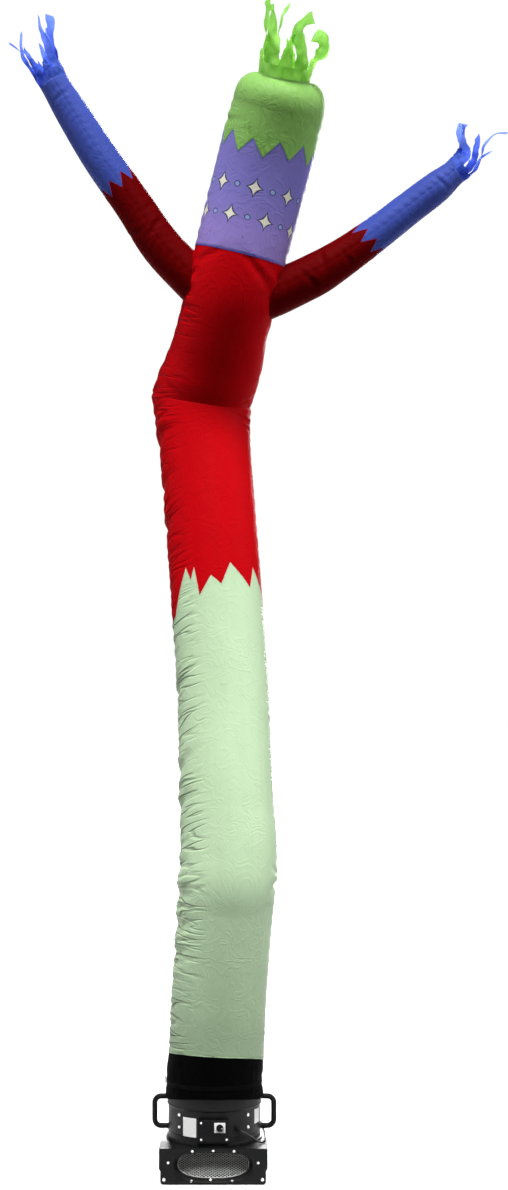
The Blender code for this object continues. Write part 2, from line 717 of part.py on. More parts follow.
def add_shirt_panel(lower, upper, angles, arms, material):
    """Red shirt with the kink at the waist and a hole for each arm."""
    shirt = cloth_shell("shirt_panel", shirt_rows(lower, upper, angles), material)
    for side, arm in arms.items():
        places = np.linspace(0.0, ARMHOLE_REACH, 6)
        turn = np.arange(ARM_COLUMNS) * 360.0 / ARM_COLUMNS
        grid = np.array([ring(arm.centre(d), arm.direction(d), turn,
                              np.full(ARM_COLUMNS, arm.radius(d) - CLOTH - GAP))
                         for d in places])
        cutter = add_cutter(side + "_armhole_cutter",
                            capped_solid(side + "_armhole_cutter", grid))
        subtract(shirt, cutter)
    return shirt


def torso_cutter(lower, upper, angles):
    """The torso and head, a little fatter, that trim the roots of the arms."""
    torso = shirt_rows(lower, upper, angles)[-9:]
    head = np.array([body_ring(lower, upper, NECK_SEAM + rise, angles)
                     for rise in (0.001, 0.090, 0.240)])
    grid = np.concatenate((torso, head))
    middle = grid.mean(axis=1, keepdims=True)
    growth = np.full((len(grid), 1, 1), 1.0 + 2.0 * GAP / 0.21)
    growth[-len(head):] = HEAD_CLEARANCE
    return add_cutter("torso_cutter",
                      capped_solid("torso_cutter", middle + (grid - middle) * growth))


def add_head_panel(lower, upper, angles, offsets, material):
    """Lavender head, from the neck seam to the zigzag hairline."""
    line = HAIRLINE + offsets - SEAM_GAP
    grid = [body_ring(lower, upper, z, angles)
            for z in np.linspace(NECK_SEAM + NECK_GAP, min(line) - 0.03, HEAD_ROWS)]
    grid.append(body_ring(lower, upper, line, angles))
    return cloth_shell("head_panel", np.array(grid), material)


def add_crown_panel(lower, upper, angles, offsets, material):
    """Green crown: the band above the hairline and the domed cap."""
    line = HAIRLINE + offsets + SEAM_GAP
    start = max(line) + 0.02
    grid = [body_ring(lower, upper, line, angles)]
    grid += [body_ring(lower, upper, z, angles) for z in np.linspace(start, CAP_START, 3)]
    base = upper.centre(COLLAR_BASE)
    axis = upper.direction(COLLAR_BASE - 0.004)
    foot = upper.centre(CAP_START)
    reach = float(np.linalg.norm(base - foot)) - COLLAR_LIP
    drop = upper.radius(CAP_START) - COLLAR_RADIUS
    start_axis = upper.direction(CAP_START)
    for share in CAP_ROWS:
        blend = start_axis + (axis - start_axis) * share
        blend = blend / np.linalg.norm(blend)
        radius = COLLAR_RADIUS + drop * (1.0 - share ** CAP_FULLNESS[0]) ** (1.0 / CAP_FULLNESS[1])
        centre = foot + (base - axis * COLLAR_LIP - foot) * share
        grid.append(ring(centre, blend, angles, np.full(len(angles), radius)))
    for height in (0.002, COLLAR_LIP - GAP):
        centre = foot + (base - foot) / np.linalg.norm(base - foot) * reach
        grid.append(ring(centre + axis * height, axis, angles,
                         np.full(len(angles), COLLAR_RADIUS)))
    return cloth_shell("crown_panel", np.array(grid), material)


# ------------------------------------------------------------------------ arms

def arm_grid(arm, angles, places):
    """Rings of an arm; a place is a distance, or one distance per column."""
    grid = []
    for place in places:
        row = np.broadcast_to(place, angles.shape)
        points = [ring(arm.centre(d), arm.direction(d), [angle],
                       np.array([arm.radius(d)]))[0] for d, angle in zip(row, angles)]
        grid.append(np.array(points))
    return np.array(grid)


def add_arm(side, arm, seam, cuff, cutter, red, lavender):
    """Red sleeve and lavender forearm of one arm, joined by a zigzag seam."""
    angles = np.arange(ARM_COLUMNS) * 360.0 / ARM_COLUMNS
    offsets = ragged_edge(ARM_COLUMNS, SLEEVE_NOTCH, SLEEVE_TOOTH)
    edge = seam + offsets
    upper_places = list(np.linspace(SLEEVE_ROOT, min(edge) - 0.02, 6)) + [edge - SEAM_GAP / 2]
    sleeve = cloth_shell(side + "_sleeve", arm_grid(arm, angles, upper_places), red)
    subtract(sleeve, cutter)
    fore_places = [edge + SEAM_GAP / 2]
    fore_places += list(np.linspace(max(edge) + 0.02, cuff - GAP, 5))
    cloth_shell(side + "_forearm", arm_grid(arm, angles, fore_places), lavender)


# --------------------------------------------------------------------- fringes

def turned(vector, axis, degrees):
    """Turn a vector about an axis."""
    return Matrix.Rotation(radians(degrees), 3, Vector(axis)) @ Vector(vector)


def strip_sections(root, axis, out, strip):
    """Corner loops of a fluttering strip that grows from a rim's quad."""
    outer_a, outer_b, inner_b, inner_a = (Vector(p) for p in root)
    along = Vector(axis).normalized()
    wide = (outer_b - outer_a)
    root_width = wide.length
    wide.normalize()
    centre = (outer_a + outer_b + inner_a + inner_b) / 4.0
    step = strip.length / STRIP_STEPS
    sections = []
    for index in range(1, STRIP_STEPS + 1):
        t = index / STRIP_STEPS
        early = min(1.0, 2.0 * t)
        late = max(0.0, 2.0 * t - 1.0)
        lean = strip.lean_mid * early + (strip.lean_end - strip.lean_mid) * late
        sway = strip.sway_mid * early + (strip.sway_end - strip.sway_mid) * late
        flutter = RIBBON_WAVE * sin(9.0 * t + strip.angle)
        heading = turned(along, wide, -(lean + flutter))
        heading = turned(heading, out, -sway)
        centre = centre + heading * step
        width_vector = turned(wide, out, -sway)
        width_vector = turned(width_vector, heading, strip.twist * t)
        flat = heading.cross(width_vector).normalized()
        width = root_width * (1.0 + (strip.tip - 1.0) * t ** STRIP_TAPER)
        half = width_vector * (width / 2.0)
        thick = flat * (STRIP_THICKNESS / 2.0)
        sections.append((centre - half - thick, centre + half - thick,
                         centre + half + thick, centre - half + thick))
    return sections


def strip_faces(low, high):
    """Triangles between two sections; front and back fold along the same line."""
    faces = []
    for k, flipped in ((0, False), (1, False), (2, True), (3, True)):
        after = (k + 1) % 4
        if flipped:
            faces += [(low[k], low[after], high[k]), (low[after], high[after], high[k])]
        else:
            faces += [(low[k], low[after], high[after]), (low[k], high[after], high[k])]
    return faces


def add_fringe(name, base, axis, radius, flare, length, strips, material):
    """A narrow collar of cloth whose upper edge runs out into strips.

    The collar is a short hollow wall.  Each strip continues one facet of its
    rim, so that strip and collar are one piece of cloth.
    """
    pitch = 360.0 / len(strips)
    angles = []
    for strip in strips:
        angles += [strip.angle - pitch * STRIP_SHARE / 2.0,
                   strip.angle + pitch * STRIP_SHARE / 2.0]
    angles = np.array(angles)
    columns = len(angles)
    levels = ((0.0, radius), (length * 0.5, radius + flare * 0.3), (length, radius + flare))
    grid = np.array([ring(base + axis * height, axis, angles, np.full(columns, level))
                     for height, level in levels])
    rows = len(levels)
    points = [Vector(p) for p in shell_points(grid, CLOTH)]
    inner = rows * columns
    top = (rows - 1) * columns
    faces = []
    for face in shell_faces(rows, columns):
        is_rim = all(v % inner >= top for v in face)
        starts_strip = is_rim and min(v % columns for v in face) % 2 == 0 \
            and max(v % columns for v in face) - min(v % columns for v in face) == 1
        if not starts_strip:
            faces.append(face)
    for index, strip in enumerate(strips):
        a = top + 2 * index
        loop = [a, a + 1, inner + a + 1, inner + a]
        out = np.array(points[a] + points[a + 1]) / 2.0 - (base + axis * length)
        out = out / np.linalg.norm(out)
        for corners in strip_sections([points[v] for v in loop], axis, out, strip):
            start = len(points)
            points += corners
            following = [start, start + 1, start + 2, start + 3]
            faces += strip_faces(loop, following)
            loop = following
        faces.append(tuple(loop))
    return add_object(name, mesh_from(name, points, faces), material)


# ---------------------------------------------------------------------- blower

def prism(name, outline, low, high, along):
    """Extrude a closed outline; along says which world axis it runs on."""
    place = {"x": lambda p, q, d: (d, p, q), "y": lambda p, q, d: (p, d, q),
             "z": lambda p, q, d: (p, q, d)}[along]
    grid = np.array([[place(p, q, depth) for p, q in outline] for depth in (low, high)])
    return capped_solid(name, grid)


def lathe(name, profile, sides, centre=(0.0, 0.0)):
    """Turn a closed profile of radius and height round an upright axis."""
    points = []
    for step in range(sides):
        turn = 2.0 * pi * step / sides
        points += [(centre[0] + r * sin(turn), centre[1] - r * cos(turn), z)
                   for r, z in profile]
    count = len(profile)
    faces = []
    for step in range(sides):
        after = (step + 1) % sides
        for k in range(count):
            following = (k + 1) % count
            faces.append((step * count + k, after * count + k,
                          after * count + following, step * count + following))
    return mesh_from(name, points, faces)


def oval(half_width, half_height, centre_z, points=28):
    """Outline of the intake: flat along its top, full and round below."""
    outline = []
    for index in range(points):
        turn = 2.0 * pi * index / points
        across_part = np.sign(cos(turn)) * abs(cos(turn)) ** 0.80
        power = 0.62 if sin(turn) > 0.0 else 0.92
        up_part = np.sign(sin(turn)) * abs(sin(turn)) ** power
        outline.append((half_width * across_part, centre_z + half_height * up_part))
    return outline


def box_outline(inset):
    """Front view of the cabinet: narrow foot, stepped sides, round corners."""
    half = BOX_HALF_WIDTH - inset
    foot = BOX_FOOT_HALF_WIDTH - inset
    right_side = [(foot - BOX_CORNER, inset)]
    for step in range(1, 4):
        turn = radians(-90.0 + 30.0 * step)
        right_side.append((foot - BOX_CORNER + BOX_CORNER * cos(turn),
                           inset + BOX_CORNER + BOX_CORNER * sin(turn)))
    right_side += [(foot, BOX_STEP_LOW), (half, BOX_STEP_HIGH), (half, BOX_HEIGHT - inset)]
    return right_side + [(-x, z) for x, z in reversed(right_side)]


def add_blower_box(material):
    """Sheet metal cabinet, hollow, open to the intake and to the drum."""
    box = add_object("blower_box", prism("blower_box", box_outline(0.0),
                                         -BOX_HALF_DEPTH, BOX_HALF_DEPTH, "y"), material)
    inside = prism("box_inside_cutter", box_outline(BOX_WALL),
                   -BOX_HALF_DEPTH + BOX_WALL, BOX_HALF_DEPTH - BOX_WALL, "y")
    subtract(box, add_cutter("box_inside_cutter", inside))
    mouth = oval(INTAKE_HALF_WIDTH + GAP, INTAKE_HALF_HEIGHT + GAP, INTAKE_CENTRE_Z)
    mouth_mesh = prism("box_mouth_cutter", mouth, -BOX_HALF_DEPTH - 0.01,
                       -BOX_HALF_DEPTH + 2.0 * BOX_WALL, "y")
    subtract(box, add_cutter("box_mouth_cutter", mouth_mesh))
    hole = [(DRUM_INNER_RADIUS * sin(2 * pi * k / DRUM_SIDES),
             -DRUM_INNER_RADIUS * cos(2 * pi * k / DRUM_SIDES)) for k in range(DRUM_SIDES)]
    hole_mesh = prism("box_top_cutter", hole, BOX_HEIGHT - 2.0 * BOX_WALL,
                      BOX_HEIGHT + 0.01, "z")
    subtract(box, add_cutter("box_top_cutter", hole_mesh))
    return box


def add_intake_duct(material):
    """Oval funnel behind the mouth, with the ledge that carries the grille."""
    mouth = oval(INTAKE_HALF_WIDTH, INTAKE_HALF_HEIGHT, INTAKE_CENTRE_Z)
    rows = []
    for share, narrowing in ((0.0, 1.0), (0.25, 0.985), (1.0, INTAKE_NARROWING)):
        y = -BOX_HALF_DEPTH + INTAKE_DEPTH * share
        rows.append([(x * narrowing, y, INTAKE_CENTRE_Z + (z - INTAKE_CENTRE_Z) * narrowing)
                     for x, z in mouth])
    return cloth_shell("intake_duct", np.array(rows), material, INTAKE_WALL)


def add_intake_grille(material):
    """Oval frame with a lattice of crossing bars at the back of the funnel."""
    scale = INTAKE_NARROWING
    y_low = -BOX_HALF_DEPTH + INTAKE_DEPTH + GAP
    y_high = y_low + GRILLE_THICKNESS
    outline = oval(INTAKE_HALF_WIDTH * scale, INTAKE_HALF_HEIGHT * scale, INTAKE_CENTRE_Z)
    grille = add_object("intake_grille", prism("intake_grille", outline,
                                               y_low, y_high, "y"), material)
    points, faces = [], []
    half = (GRILLE_PITCH - GRILLE_BAR) / 2.0
    rim = 1.0 - (INTAKE_WALL + GRILLE_BAR + half) / (INTAKE_HALF_HEIGHT * scale)
    rows_up = int(2.0 * INTAKE_HALF_HEIGHT / GRILLE_PITCH) + 1
    columns_half = int(INTAKE_HALF_WIDTH / GRILLE_PITCH) + 1
    for row in range(-rows_up, rows_up + 1):
        for column in range(-columns_half, columns_half + 1):
            x = (column + 0.5 * (row % 2)) * GRILLE_PITCH
            z = row * GRILLE_PITCH / 2.0
            reach = (abs(x) / (INTAKE_HALF_WIDTH * scale - half - GRILLE_BAR)) \
                ** GRILLE_EDGE_POWER \
                + (abs(z) / (INTAKE_HALF_HEIGHT * scale * rim)) ** GRILLE_EDGE_POWER
            if reach > 1.0:
                continue
            start = len(points)
            for y in (y_low - 0.01, y_high + 0.01):
                points += [(x - half, y, INTAKE_CENTRE_Z + z), (x, y, INTAKE_CENTRE_Z + z - half),
                           (x + half, y, INTAKE_CENTRE_Z + z), (x, y, INTAKE_CENTRE_Z + z + half)]
            faces.append(tuple(start + k for k in range(4)))
            faces.append(tuple(start + 7 - k for k in range(4)))
            for k in range(4):
                after = (k + 1) % 4
                faces.append((start + k, start + after, start + 4 + after, start + 4 + k))
    holes = add_cutter("grille_holes_cutter", mesh_from("grille_holes_cutter", points, faces))
    subtract(grille, holes)
    return grille


def round_head(name, centre, normal, radius):
    """A low domed bolt head that stands on a face."""
    normal = np.array(normal, float)
    right = np.cross((0.0, 0.0, 1.0), normal)
    right = right / np.linalg.norm(right)
    up = np.cross(normal, right)
    grid = []
    for share, size in ((0.0, 1.0), (0.55, 0.94), (1.0, 0.55)):
        grid.append([np.array(centre) + normal * (GAP + BOLT_HEAD * share)
                     + (right * cos(2 * pi * k / BOLT_SIDES) + up * sin(2 * pi * k / BOLT_SIDES))
                     * radius * size for k in range(BOLT_SIDES)])
    return capped_solid(name, np.array(grid))


def on_drum(angle, radius, z):
    """A point on the drum, and the outward direction there."""
    turn = radians(angle)
    out = (sin(turn), -cos(turn), 0.0)
    return (out[0] * radius, out[1] * radius, z), out


def add_fan_drum(material):
    """Round duct above the cabinet, with its foot, lip and neck."""
    profile = [(DRUM_INNER_RADIUS, BOX_HEIGHT + GAP), (DRUM_FOOT_RADIUS, BOX_HEIGHT + GAP),
               (DRUM_FOOT_RADIUS, DRUM_FOOT_TOP), (DRUM_RADIUS, DRUM_FOOT_TOP + 0.006),
               (DRUM_RADIUS, DRUM_LIP_LOW - 0.006), (DRUM_LIP_RADIUS, DRUM_LIP_LOW),
               (DRUM_LIP_RADIUS, DRUM_LIP_TOP), (NECK_RADIUS, DRUM_LIP_TOP),
               (NECK_RADIUS, NECK_TOP), (NECK_RADIUS - NECK_WALL, NECK_TOP),
               (NECK_RADIUS - NECK_WALL, DRUM_LIP_LOW), (DRUM_INNER_RADIUS, DRUM_LIP_LOW)]
    return add_object("fan_drum", lathe("fan_drum", profile, DRUM_SIDES), material)


def add_handle(side, material):
    """Bent tube handle that stands off the drum, in an upright plane."""
    sign = -1.0 if side == "left" else 1.0
    bar = DRUM_RADIUS + GAP + HANDLE_REACH + HANDLE_TUBE_RADIUS
    bend = [(bar - HANDLE_BEND, HANDLE_LOW)]
    for step in range(1, 4):
        turn = radians(-90.0 + 30.0 * step)
        bend.append((bar - HANDLE_BEND + HANDLE_BEND * cos(turn),
                     HANDLE_LOW + HANDLE_BEND + HANDLE_BEND * sin(turn)))
    route = [(DRUM_RADIUS + GAP, HANDLE_LOW)] + bend
    route += [(r, HANDLE_LOW + HANDLE_HIGH - z) for r, z in reversed(bend)]
    route.append((NECK_RADIUS + GAP, HANDLE_HIGH))
    grid = []
    for index, (r, z) in enumerate(route):
        before = route[max(index - 1, 0)]
        after = route[min(index + 1, len(route) - 1)]
        run = np.array((after[0] - before[0], after[1] - before[1]))
        run = run / np.linalg.norm(run)
        normal = np.array((-run[1], run[0]))
        row = []
        for k in range(HANDLE_SIDES):
            turn = 2.0 * pi * k / HANDLE_SIDES
            offset = normal * cos(turn) * HANDLE_TUBE_RADIUS
            row.append((sign * (r + offset[0]), sin(turn) * HANDLE_TUBE_RADIUS, z + offset[1]))
        grid.append(row)
    name = side + "_handle"
    return add_object(name, capped_solid(name, np.array(grid)), material)


def add_curved_plate(name, plate, material):
    """Bare label plate that follows the drum."""
    start, end, low, high = plate
    steps = 4
    inner = DRUM_RADIUS + GAP
    outer = inner + PLATE_THICKNESS
    profile = [(inner, low), (outer, low), (outer, high), (inner, high)]
    grid = []
    for step in range(steps + 1):
        turn = radians(start + (end - start) * step / steps)
        grid.append([(r * sin(turn), -r * cos(turn), z) for r, z in profile])
    return add_object(name, capped_solid(name, np.array(grid)), material)


def add_control_box(material):
    """Flat-faced black housing on the front of the drum."""
    steps = 8
    half_angle = np.arcsin(CONTROL_HALF_WIDTH / DRUM_RADIUS)
    back = []
    for step in range(steps + 1):
        turn = half_angle * (1.0 - 2.0 * step / steps)
        radius = DRUM_RADIUS + GAP * 2.0
        back.append((radius * sin(turn), -radius * cos(turn)))
    front = [(-CONTROL_HALF_WIDTH, -CONTROL_FACE + CONTROL_CORNER),
             (-CONTROL_HALF_WIDTH + CONTROL_CORNER, -CONTROL_FACE),
             (CONTROL_HALF_WIDTH - CONTROL_CORNER, -CONTROL_FACE),
             (CONTROL_HALF_WIDTH, -CONTROL_FACE + CONTROL_CORNER)]
    mesh = prism("control_box", back + front, CONTROL_LOW, CONTROL_HIGH, "z")
    return add_object("control_box", mesh, material)


def add_switch(white, black):
    """White square plate and the black rotary knob that turns on it."""
    half_w = SWITCH_PLATE_WIDTH / 2.0
    half_h = SWITCH_PLATE_HEIGHT / 2.0
    outline = [(SWITCH_CENTRE_X - half_w, SWITCH_CENTRE_Z - half_h),
               (SWITCH_CENTRE_X + half_w, SWITCH_CENTRE_Z - half_h),
               (SWITCH_CENTRE_X + half_w, SWITCH_CENTRE_Z + half_h),
               (SWITCH_CENTRE_X - half_w, SWITCH_CENTRE_Z + half_h)]
    back = -CONTROL_FACE - GAP
    front = back - SWITCH_PLATE_DEPTH
    add_object("switch_plate", prism("switch_plate", outline, front, back, "y"), white)
    pivot = bpy.data.objects.new("knob_pivot", None)
    pivot.location = (SWITCH_CENTRE_X, front - GAP, SWITCH_CENTRE_Z)
    bpy.context.scene.collection.objects.link(pivot)
    knob = add_object("switch_knob", knob_mesh(), black)
    knob.parent = pivot
    return knob


def knob_mesh():
    """Round knob with a bar grip; local -Y points out, the axis is local Y."""
    work = bmesh.new()
    base = bmesh.ops.create_cone(work, cap_ends=True, segments=20, radius1=KNOB_RADIUS,
                                 radius2=KNOB_RADIUS * 0.9, depth=KNOB_HEIGHT)
    turn = Matrix.Rotation(radians(90.0), 3, "X")
    bmesh.ops.rotate(work, verts=base["verts"], matrix=turn)
    bmesh.ops.translate(work, verts=base["verts"], vec=(0.0, -KNOB_HEIGHT / 2.0, 0.0))
    mesh = bpy.data.meshes.new("switch_knob")
    work.to_mesh(mesh)
    work.free()
    outline = [(-KNOB_RADIUS * 0.9, -KNOB_GRIP_WIDTH / 2), (KNOB_GRIP_REACH, -KNOB_GRIP_WIDTH / 2),
               (KNOB_GRIP_REACH, KNOB_GRIP_WIDTH / 2), (-KNOB_RADIUS * 0.9, KNOB_GRIP_WIDTH / 2)]
    grip = add_cutter("knob_grip_guide", prism("knob_grip_guide", outline,
                                               -KNOB_GRIP_HEIGHT, -KNOB_HEIGHT * 0.5, "y"))
    knob = bpy.data.objects.new("knob_guide", mesh)
    bpy.context.scene.collection.objects.link(knob)
    joined = knob.modifiers.new("grip", "BOOLEAN")
    joined.operation = "UNION"
    joined.solver = "EXACT"
    joined.object = grip
    bpy.context.view_layer.update()
    result = bpy.data.meshes.new_from_object(
        knob.evaluated_get(bpy.context.evaluated_depsgraph_get()))
    bpy.data.objects.remove(knob, do_unlink=True)
    bpy.data.objects.remove(grip, do_unlink=True)
    result.name = "switch_knob"
    return result


def add_bolts(bright):
    """Bright heads: two pairs on the drum and one low on each side of the cabinet."""
    for side, sign in (("left", -1.0), ("right", 1.0)):
        for level, z in zip(("low", "high"), BOLT_HEIGHTS):
            centre, out = on_drum(sign * BOLT_ANGLE, DRUM_RADIUS, z)
            name = "drum_bolt_" + side + "_" + level
            add_object(name, round_head(name, centre, out, BOLT_RADIUS), bright)
        name = "foot_bolt_" + side
        centre = (sign * (BOX_FOOT_HALF_WIDTH - FOOT_BOLT_INSET), -BOX_HALF_DEPTH, FOOT_BOLT_Z)
        add_object(name, round_head(name, centre, FRONT, FOOT_BOLT_RADIUS), bright)


# ------------------------------------------------------------------ mains lead

def lead_route():
    """Route of the lead: straight out of the gland, then by its waypoints."""
    gland, out = on_drum(GLAND_ANGLE, DRUM_RADIUS + GLAND_LENGTH, GLAND_Z)
    start = Vector(gland) + Vector(out) * 2.0 * GAP
    route = [start] + [start + Vector(out) * run for run in CORD_STRAIGHT]
    return np.array([tuple(p) for p in route] + [tuple(p) for p in LEAD_ROUTE])


def add_cord_lead(material):
    """The free stretch of the lead, as a round tube along a smooth curve."""
    route = lead_route()
    lengths = np.concatenate(([0.0], np.cumsum(np.linalg.norm(np.diff(route, axis=0), axis=1))))
    count = int(lengths[-1] / (6.0 * CORD_RADIUS)) + 1
    smooth = smooth_values(lengths, route, np.linspace(0.0, lengths[-1], count))
    smooth[:, 2] = np.maximum(smooth[:, 2], LEAD_FLOOR)
    curve = bpy.data.curves.new("cord_lead", "CURVE")
    curve.dimensions = "3D"
    curve.bevel_depth = CORD_RADIUS
    curve.bevel_resolution = 2
    curve.use_fill_caps = True
    spline = curve.splines.new("POLY")
    spline.points.add(count - 1)
    for point, place in zip(spline.points, smooth):
        point.co = (*place, 1.0)
    curve.materials.append(material)
    lead = bpy.data.objects.new("cord_lead", curve)
    bpy.context.scene.collection.objects.link(lead)
    return lead


def add_cord_coil(material):
    """Turned ring of the coiled spare length, lying on the ground."""
    low = CORD_LIFT
    high = low + COIL_HEIGHT
    profile = [(COIL_INNER_RADIUS + COIL_CHAMFER, low), (COIL_RADIUS - COIL_CHAMFER, low),
               (COIL_RADIUS, low + COIL_CHAMFER), (COIL_RADIUS, high - COIL_CHAMFER),
               (COIL_RADIUS - COIL_CHAMFER, high), (COIL_INNER_RADIUS + COIL_CHAMFER, high),
               (COIL_INNER_RADIUS, high - COIL_CHAMFER),
               (COIL_INNER_RADIUS, low + COIL_CHAMFER)]
    mesh = lathe("cord_coil", profile, COIL_SIDES, COIL_CENTRE)
    return add_object("cord_coil", mesh, material)


def add_power_plug(material):
    """Plug at the end of the lead, lying in line with the coil's last turn."""
    x_low = COIL_CENTRE[0] + PLUG_START[0]
    y_middle = COIL_CENTRE[1] + PLUG_START[1]
    grid = []
    for share, wide, tall in ((0.0, 0.40, 0.45), (0.35, 0.62, 0.70), (0.45, 1.0, 1.0),
                              (1.0, 0.94, 0.96)):
        x = x_low + PLUG_LENGTH * share
        half_w = PLUG_WIDTH * wide / 2.0
        half_h = PLUG_HEIGHT * tall / 2.0
        middle = CORD_LIFT + PLUG_HEIGHT / 2.0
        row = []
        for k in range(PLUG_SIDES):
            turn = 2.0 * pi * (k + 0.5) / PLUG_SIDES
            row.append((x, y_middle + half_w * 1.08 * cos(turn),
                        middle + half_h * 1.08 * sin(turn)))
        grid.append(row)
    return add_object("power_plug", capped_solid("power_plug", np.array(grid)), material)


def add_cord_gland(material):
    """Stepped strain relief where the lead leaves the drum."""
    centre, out = on_drum(GLAND_ANGLE, DRUM_RADIUS, GLAND_Z)
    out = np.array(out)
    side = np.cross((0.0, 0.0, 1.0), out)
    up = np.array((0.0, 0.0, 1.0))
    grid = []
    for share, size in ((0.0, 1.0), (0.40, 1.0), (0.45, 0.80), (0.80, 0.72), (1.0, 0.52)):
        along = np.array(centre) + out * (GAP * 2.0 + (GLAND_LENGTH - GAP * 2.0) * share)
        grid.append([along + (side * cos(2 * pi * k / GLAND_SIDES)
                              + up * sin(2 * pi * k / GLAND_SIDES))
                     * GLAND_RADIUS * size for k in range(GLAND_SIDES)])
    return add_object("cord_gland", capped_solid("cord_gland", np.array(grid)), material)


# -------------------------------------------------------------------- assembly

def build_cloth():
    """Cut and sew the dancer."""
    black = finish("black_nylon", (0.010, 0.010, 0.012), 0.75)
    webbing = finish("black_webbing", (0.015, 0.015, 0.017), 0.80)
    steel = finish("buckle_steel", (0.60, 0.60, 0.62), 0.35, 1.0)
    green = finish("pale_green_nylon", (0.50, 0.74, 0.50), 0.55)
    red = finish("red_nylon", (0.50, 0.004, 0.008), 0.55)
    lavender = finish("lavender_nylon", (0.16, 0.15, 0.52), 0.55)
    lime = finish("lime_nylon", (0.32, 0.66, 0.09), 0.55)
    blue = finish("blue_ribbon", (0.10, 0.16, 0.62), 0.50)
    lower = Tube(LOWER_BODY, by_height=True)
    upper = Tube(UPPER_BODY, by_height=True)
    arms = {"left": Tube(LEFT_ARM, by_height=False), "right": Tube(RIGHT_ARM, by_height=False)}
    add_base_sleeve(lower, upper, black)
    add_cinch_strap(webbing)
    add_strap_buckle(steel)
    angles = hem_columns()
    add_trouser_panel(lower, upper, angles, green)
    add_shirt_panel(lower, upper, angles, arms, red)
    cutter = torso_cutter(lower, upper, angles)
    add_arm("left", arms["left"], LEFT_RAGGED_SEAM, LEFT_CUFF_SEAM, cutter, red, lavender)
    add_arm("right", arms["right"], RIGHT_RAGGED_SEAM, RIGHT_CUFF_SEAM, cutter, red, lavender)
    head_angles = np.arange(HEAD_COLUMNS) * 360.0 / HEAD_COLUMNS
    hairline = ragged_edge(HEAD_COLUMNS, HAIR_NOTCH, HAIR_TOOTH)
    add_head_panel(lower, upper, head_angles, hairline, lavender)
    add_crown_panel(lower, upper, head_angles, hairline, lime)
    axis = upper.direction(COLLAR_BASE - 0.004)
    add_fringe("hair_fringe", upper.centre(COLLAR_BASE) + axis * GAP, axis, COLLAR_RADIUS,
               0.006, COLLAR_LENGTH, HAIR_STRIPS, lime)
    cuffs = (("left", LEFT_CUFF_SEAM, LEFT_CUFF_LENGTH, LEFT_STRIPS),
             ("right", RIGHT_CUFF_SEAM, RIGHT_CUFF_LENGTH, RIGHT_STRIPS))
    for side, seam, length, strips in cuffs:
        arm = arms[side]
        axis = arm.direction(seam)
        add_fringe(side + "_cuff_fringe", arm.centre(seam) + axis * GAP, axis,
                   float(arm.radius(seam)), 0.003, length, strips, blue)


def build_blower():
    """Assemble the blower that holds the dancer."""
    paint = finish("black_paint", (0.020, 0.021, 0.022), 0.45)
    plastic = finish("black_plastic", (0.018, 0.018, 0.020), 0.50)
    bright = finish("bright_zinc", (0.80, 0.80, 0.80), 0.30, 1.0)
    mesh_wire = finish("grey_wire", (0.16, 0.17, 0.16), 0.45, 0.8)
    label = finish("bare_label", (0.82, 0.82, 0.80), 0.60)
    white = finish("white_plastic", (0.85, 0.85, 0.84), 0.45)
    add_blower_box(paint)
    add_intake_duct(paint)
    add_intake_grille(mesh_wire)
    add_fan_drum(paint)
    add_handle("left", plastic)
    add_handle("right", plastic)
    add_bolts(bright)
    add_curved_plate("rating_plate", RATING_PLATE, label)
    add_curved_plate("side_plate", SIDE_PLATE, label)
    add_control_box(plastic)
    add_switch(white, plastic)
    add_cord_gland(plastic)
    add_cord_lead(plastic)
    add_cord_coil(plastic)
    add_power_plug(plastic)


def main():
    """Build the whole air dancer."""
    clear_scene()
    build_cloth()
    build_blower()
    bpy.context.view_layer.update()


if __name__ == "__main__":
    main()
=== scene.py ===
"""Inflatable air dancer strapped on its blower, dressed for a studio picture.

Every sheet of cloth follows the same centreline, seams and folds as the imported
solids, only finer.  Lengths are in metres, +Z up and -Y to the front.
"""

import json
import logging
from collections.abc import Callable, Iterable, Sequence
from dataclasses import dataclass, field
from enum import Enum
from functools import cache
from math import ceil, cos, pi, radians, sin

import bmesh
import bpy
import numpy as np
from mathutils import Matrix, Vector

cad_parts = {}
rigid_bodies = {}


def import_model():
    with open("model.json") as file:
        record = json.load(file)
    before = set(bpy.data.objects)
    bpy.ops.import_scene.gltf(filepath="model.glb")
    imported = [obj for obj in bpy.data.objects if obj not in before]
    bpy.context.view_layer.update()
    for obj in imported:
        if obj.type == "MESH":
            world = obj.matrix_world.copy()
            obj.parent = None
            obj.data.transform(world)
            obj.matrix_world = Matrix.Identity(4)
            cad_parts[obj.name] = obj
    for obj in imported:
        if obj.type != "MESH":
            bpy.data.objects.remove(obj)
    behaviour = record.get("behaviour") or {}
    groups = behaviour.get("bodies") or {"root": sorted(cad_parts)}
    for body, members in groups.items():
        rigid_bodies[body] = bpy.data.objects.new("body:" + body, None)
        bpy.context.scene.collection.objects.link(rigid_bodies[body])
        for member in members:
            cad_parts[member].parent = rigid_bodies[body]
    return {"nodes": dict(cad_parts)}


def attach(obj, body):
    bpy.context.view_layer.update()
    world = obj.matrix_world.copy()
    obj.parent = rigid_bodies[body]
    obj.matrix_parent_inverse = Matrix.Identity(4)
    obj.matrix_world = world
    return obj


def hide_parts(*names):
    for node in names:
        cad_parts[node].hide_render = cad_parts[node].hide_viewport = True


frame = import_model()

LOG = logging.getLogger("air_dancer")
BODY = "dancer_and_blower"
KNOB = "knob"
CLOTH_MAP = "cloth"
UP = np.array((0.0, 0.0, 1.0))
FRONT = Vector((0.0, -1.0, 0.0))
CLEAR = 0.0006
TINY = 1e-12
JUST = 1e-6
Array = np.ndarray
Colour = tuple[float, float, float]


# ------------------------------------------------------------------- node graphs

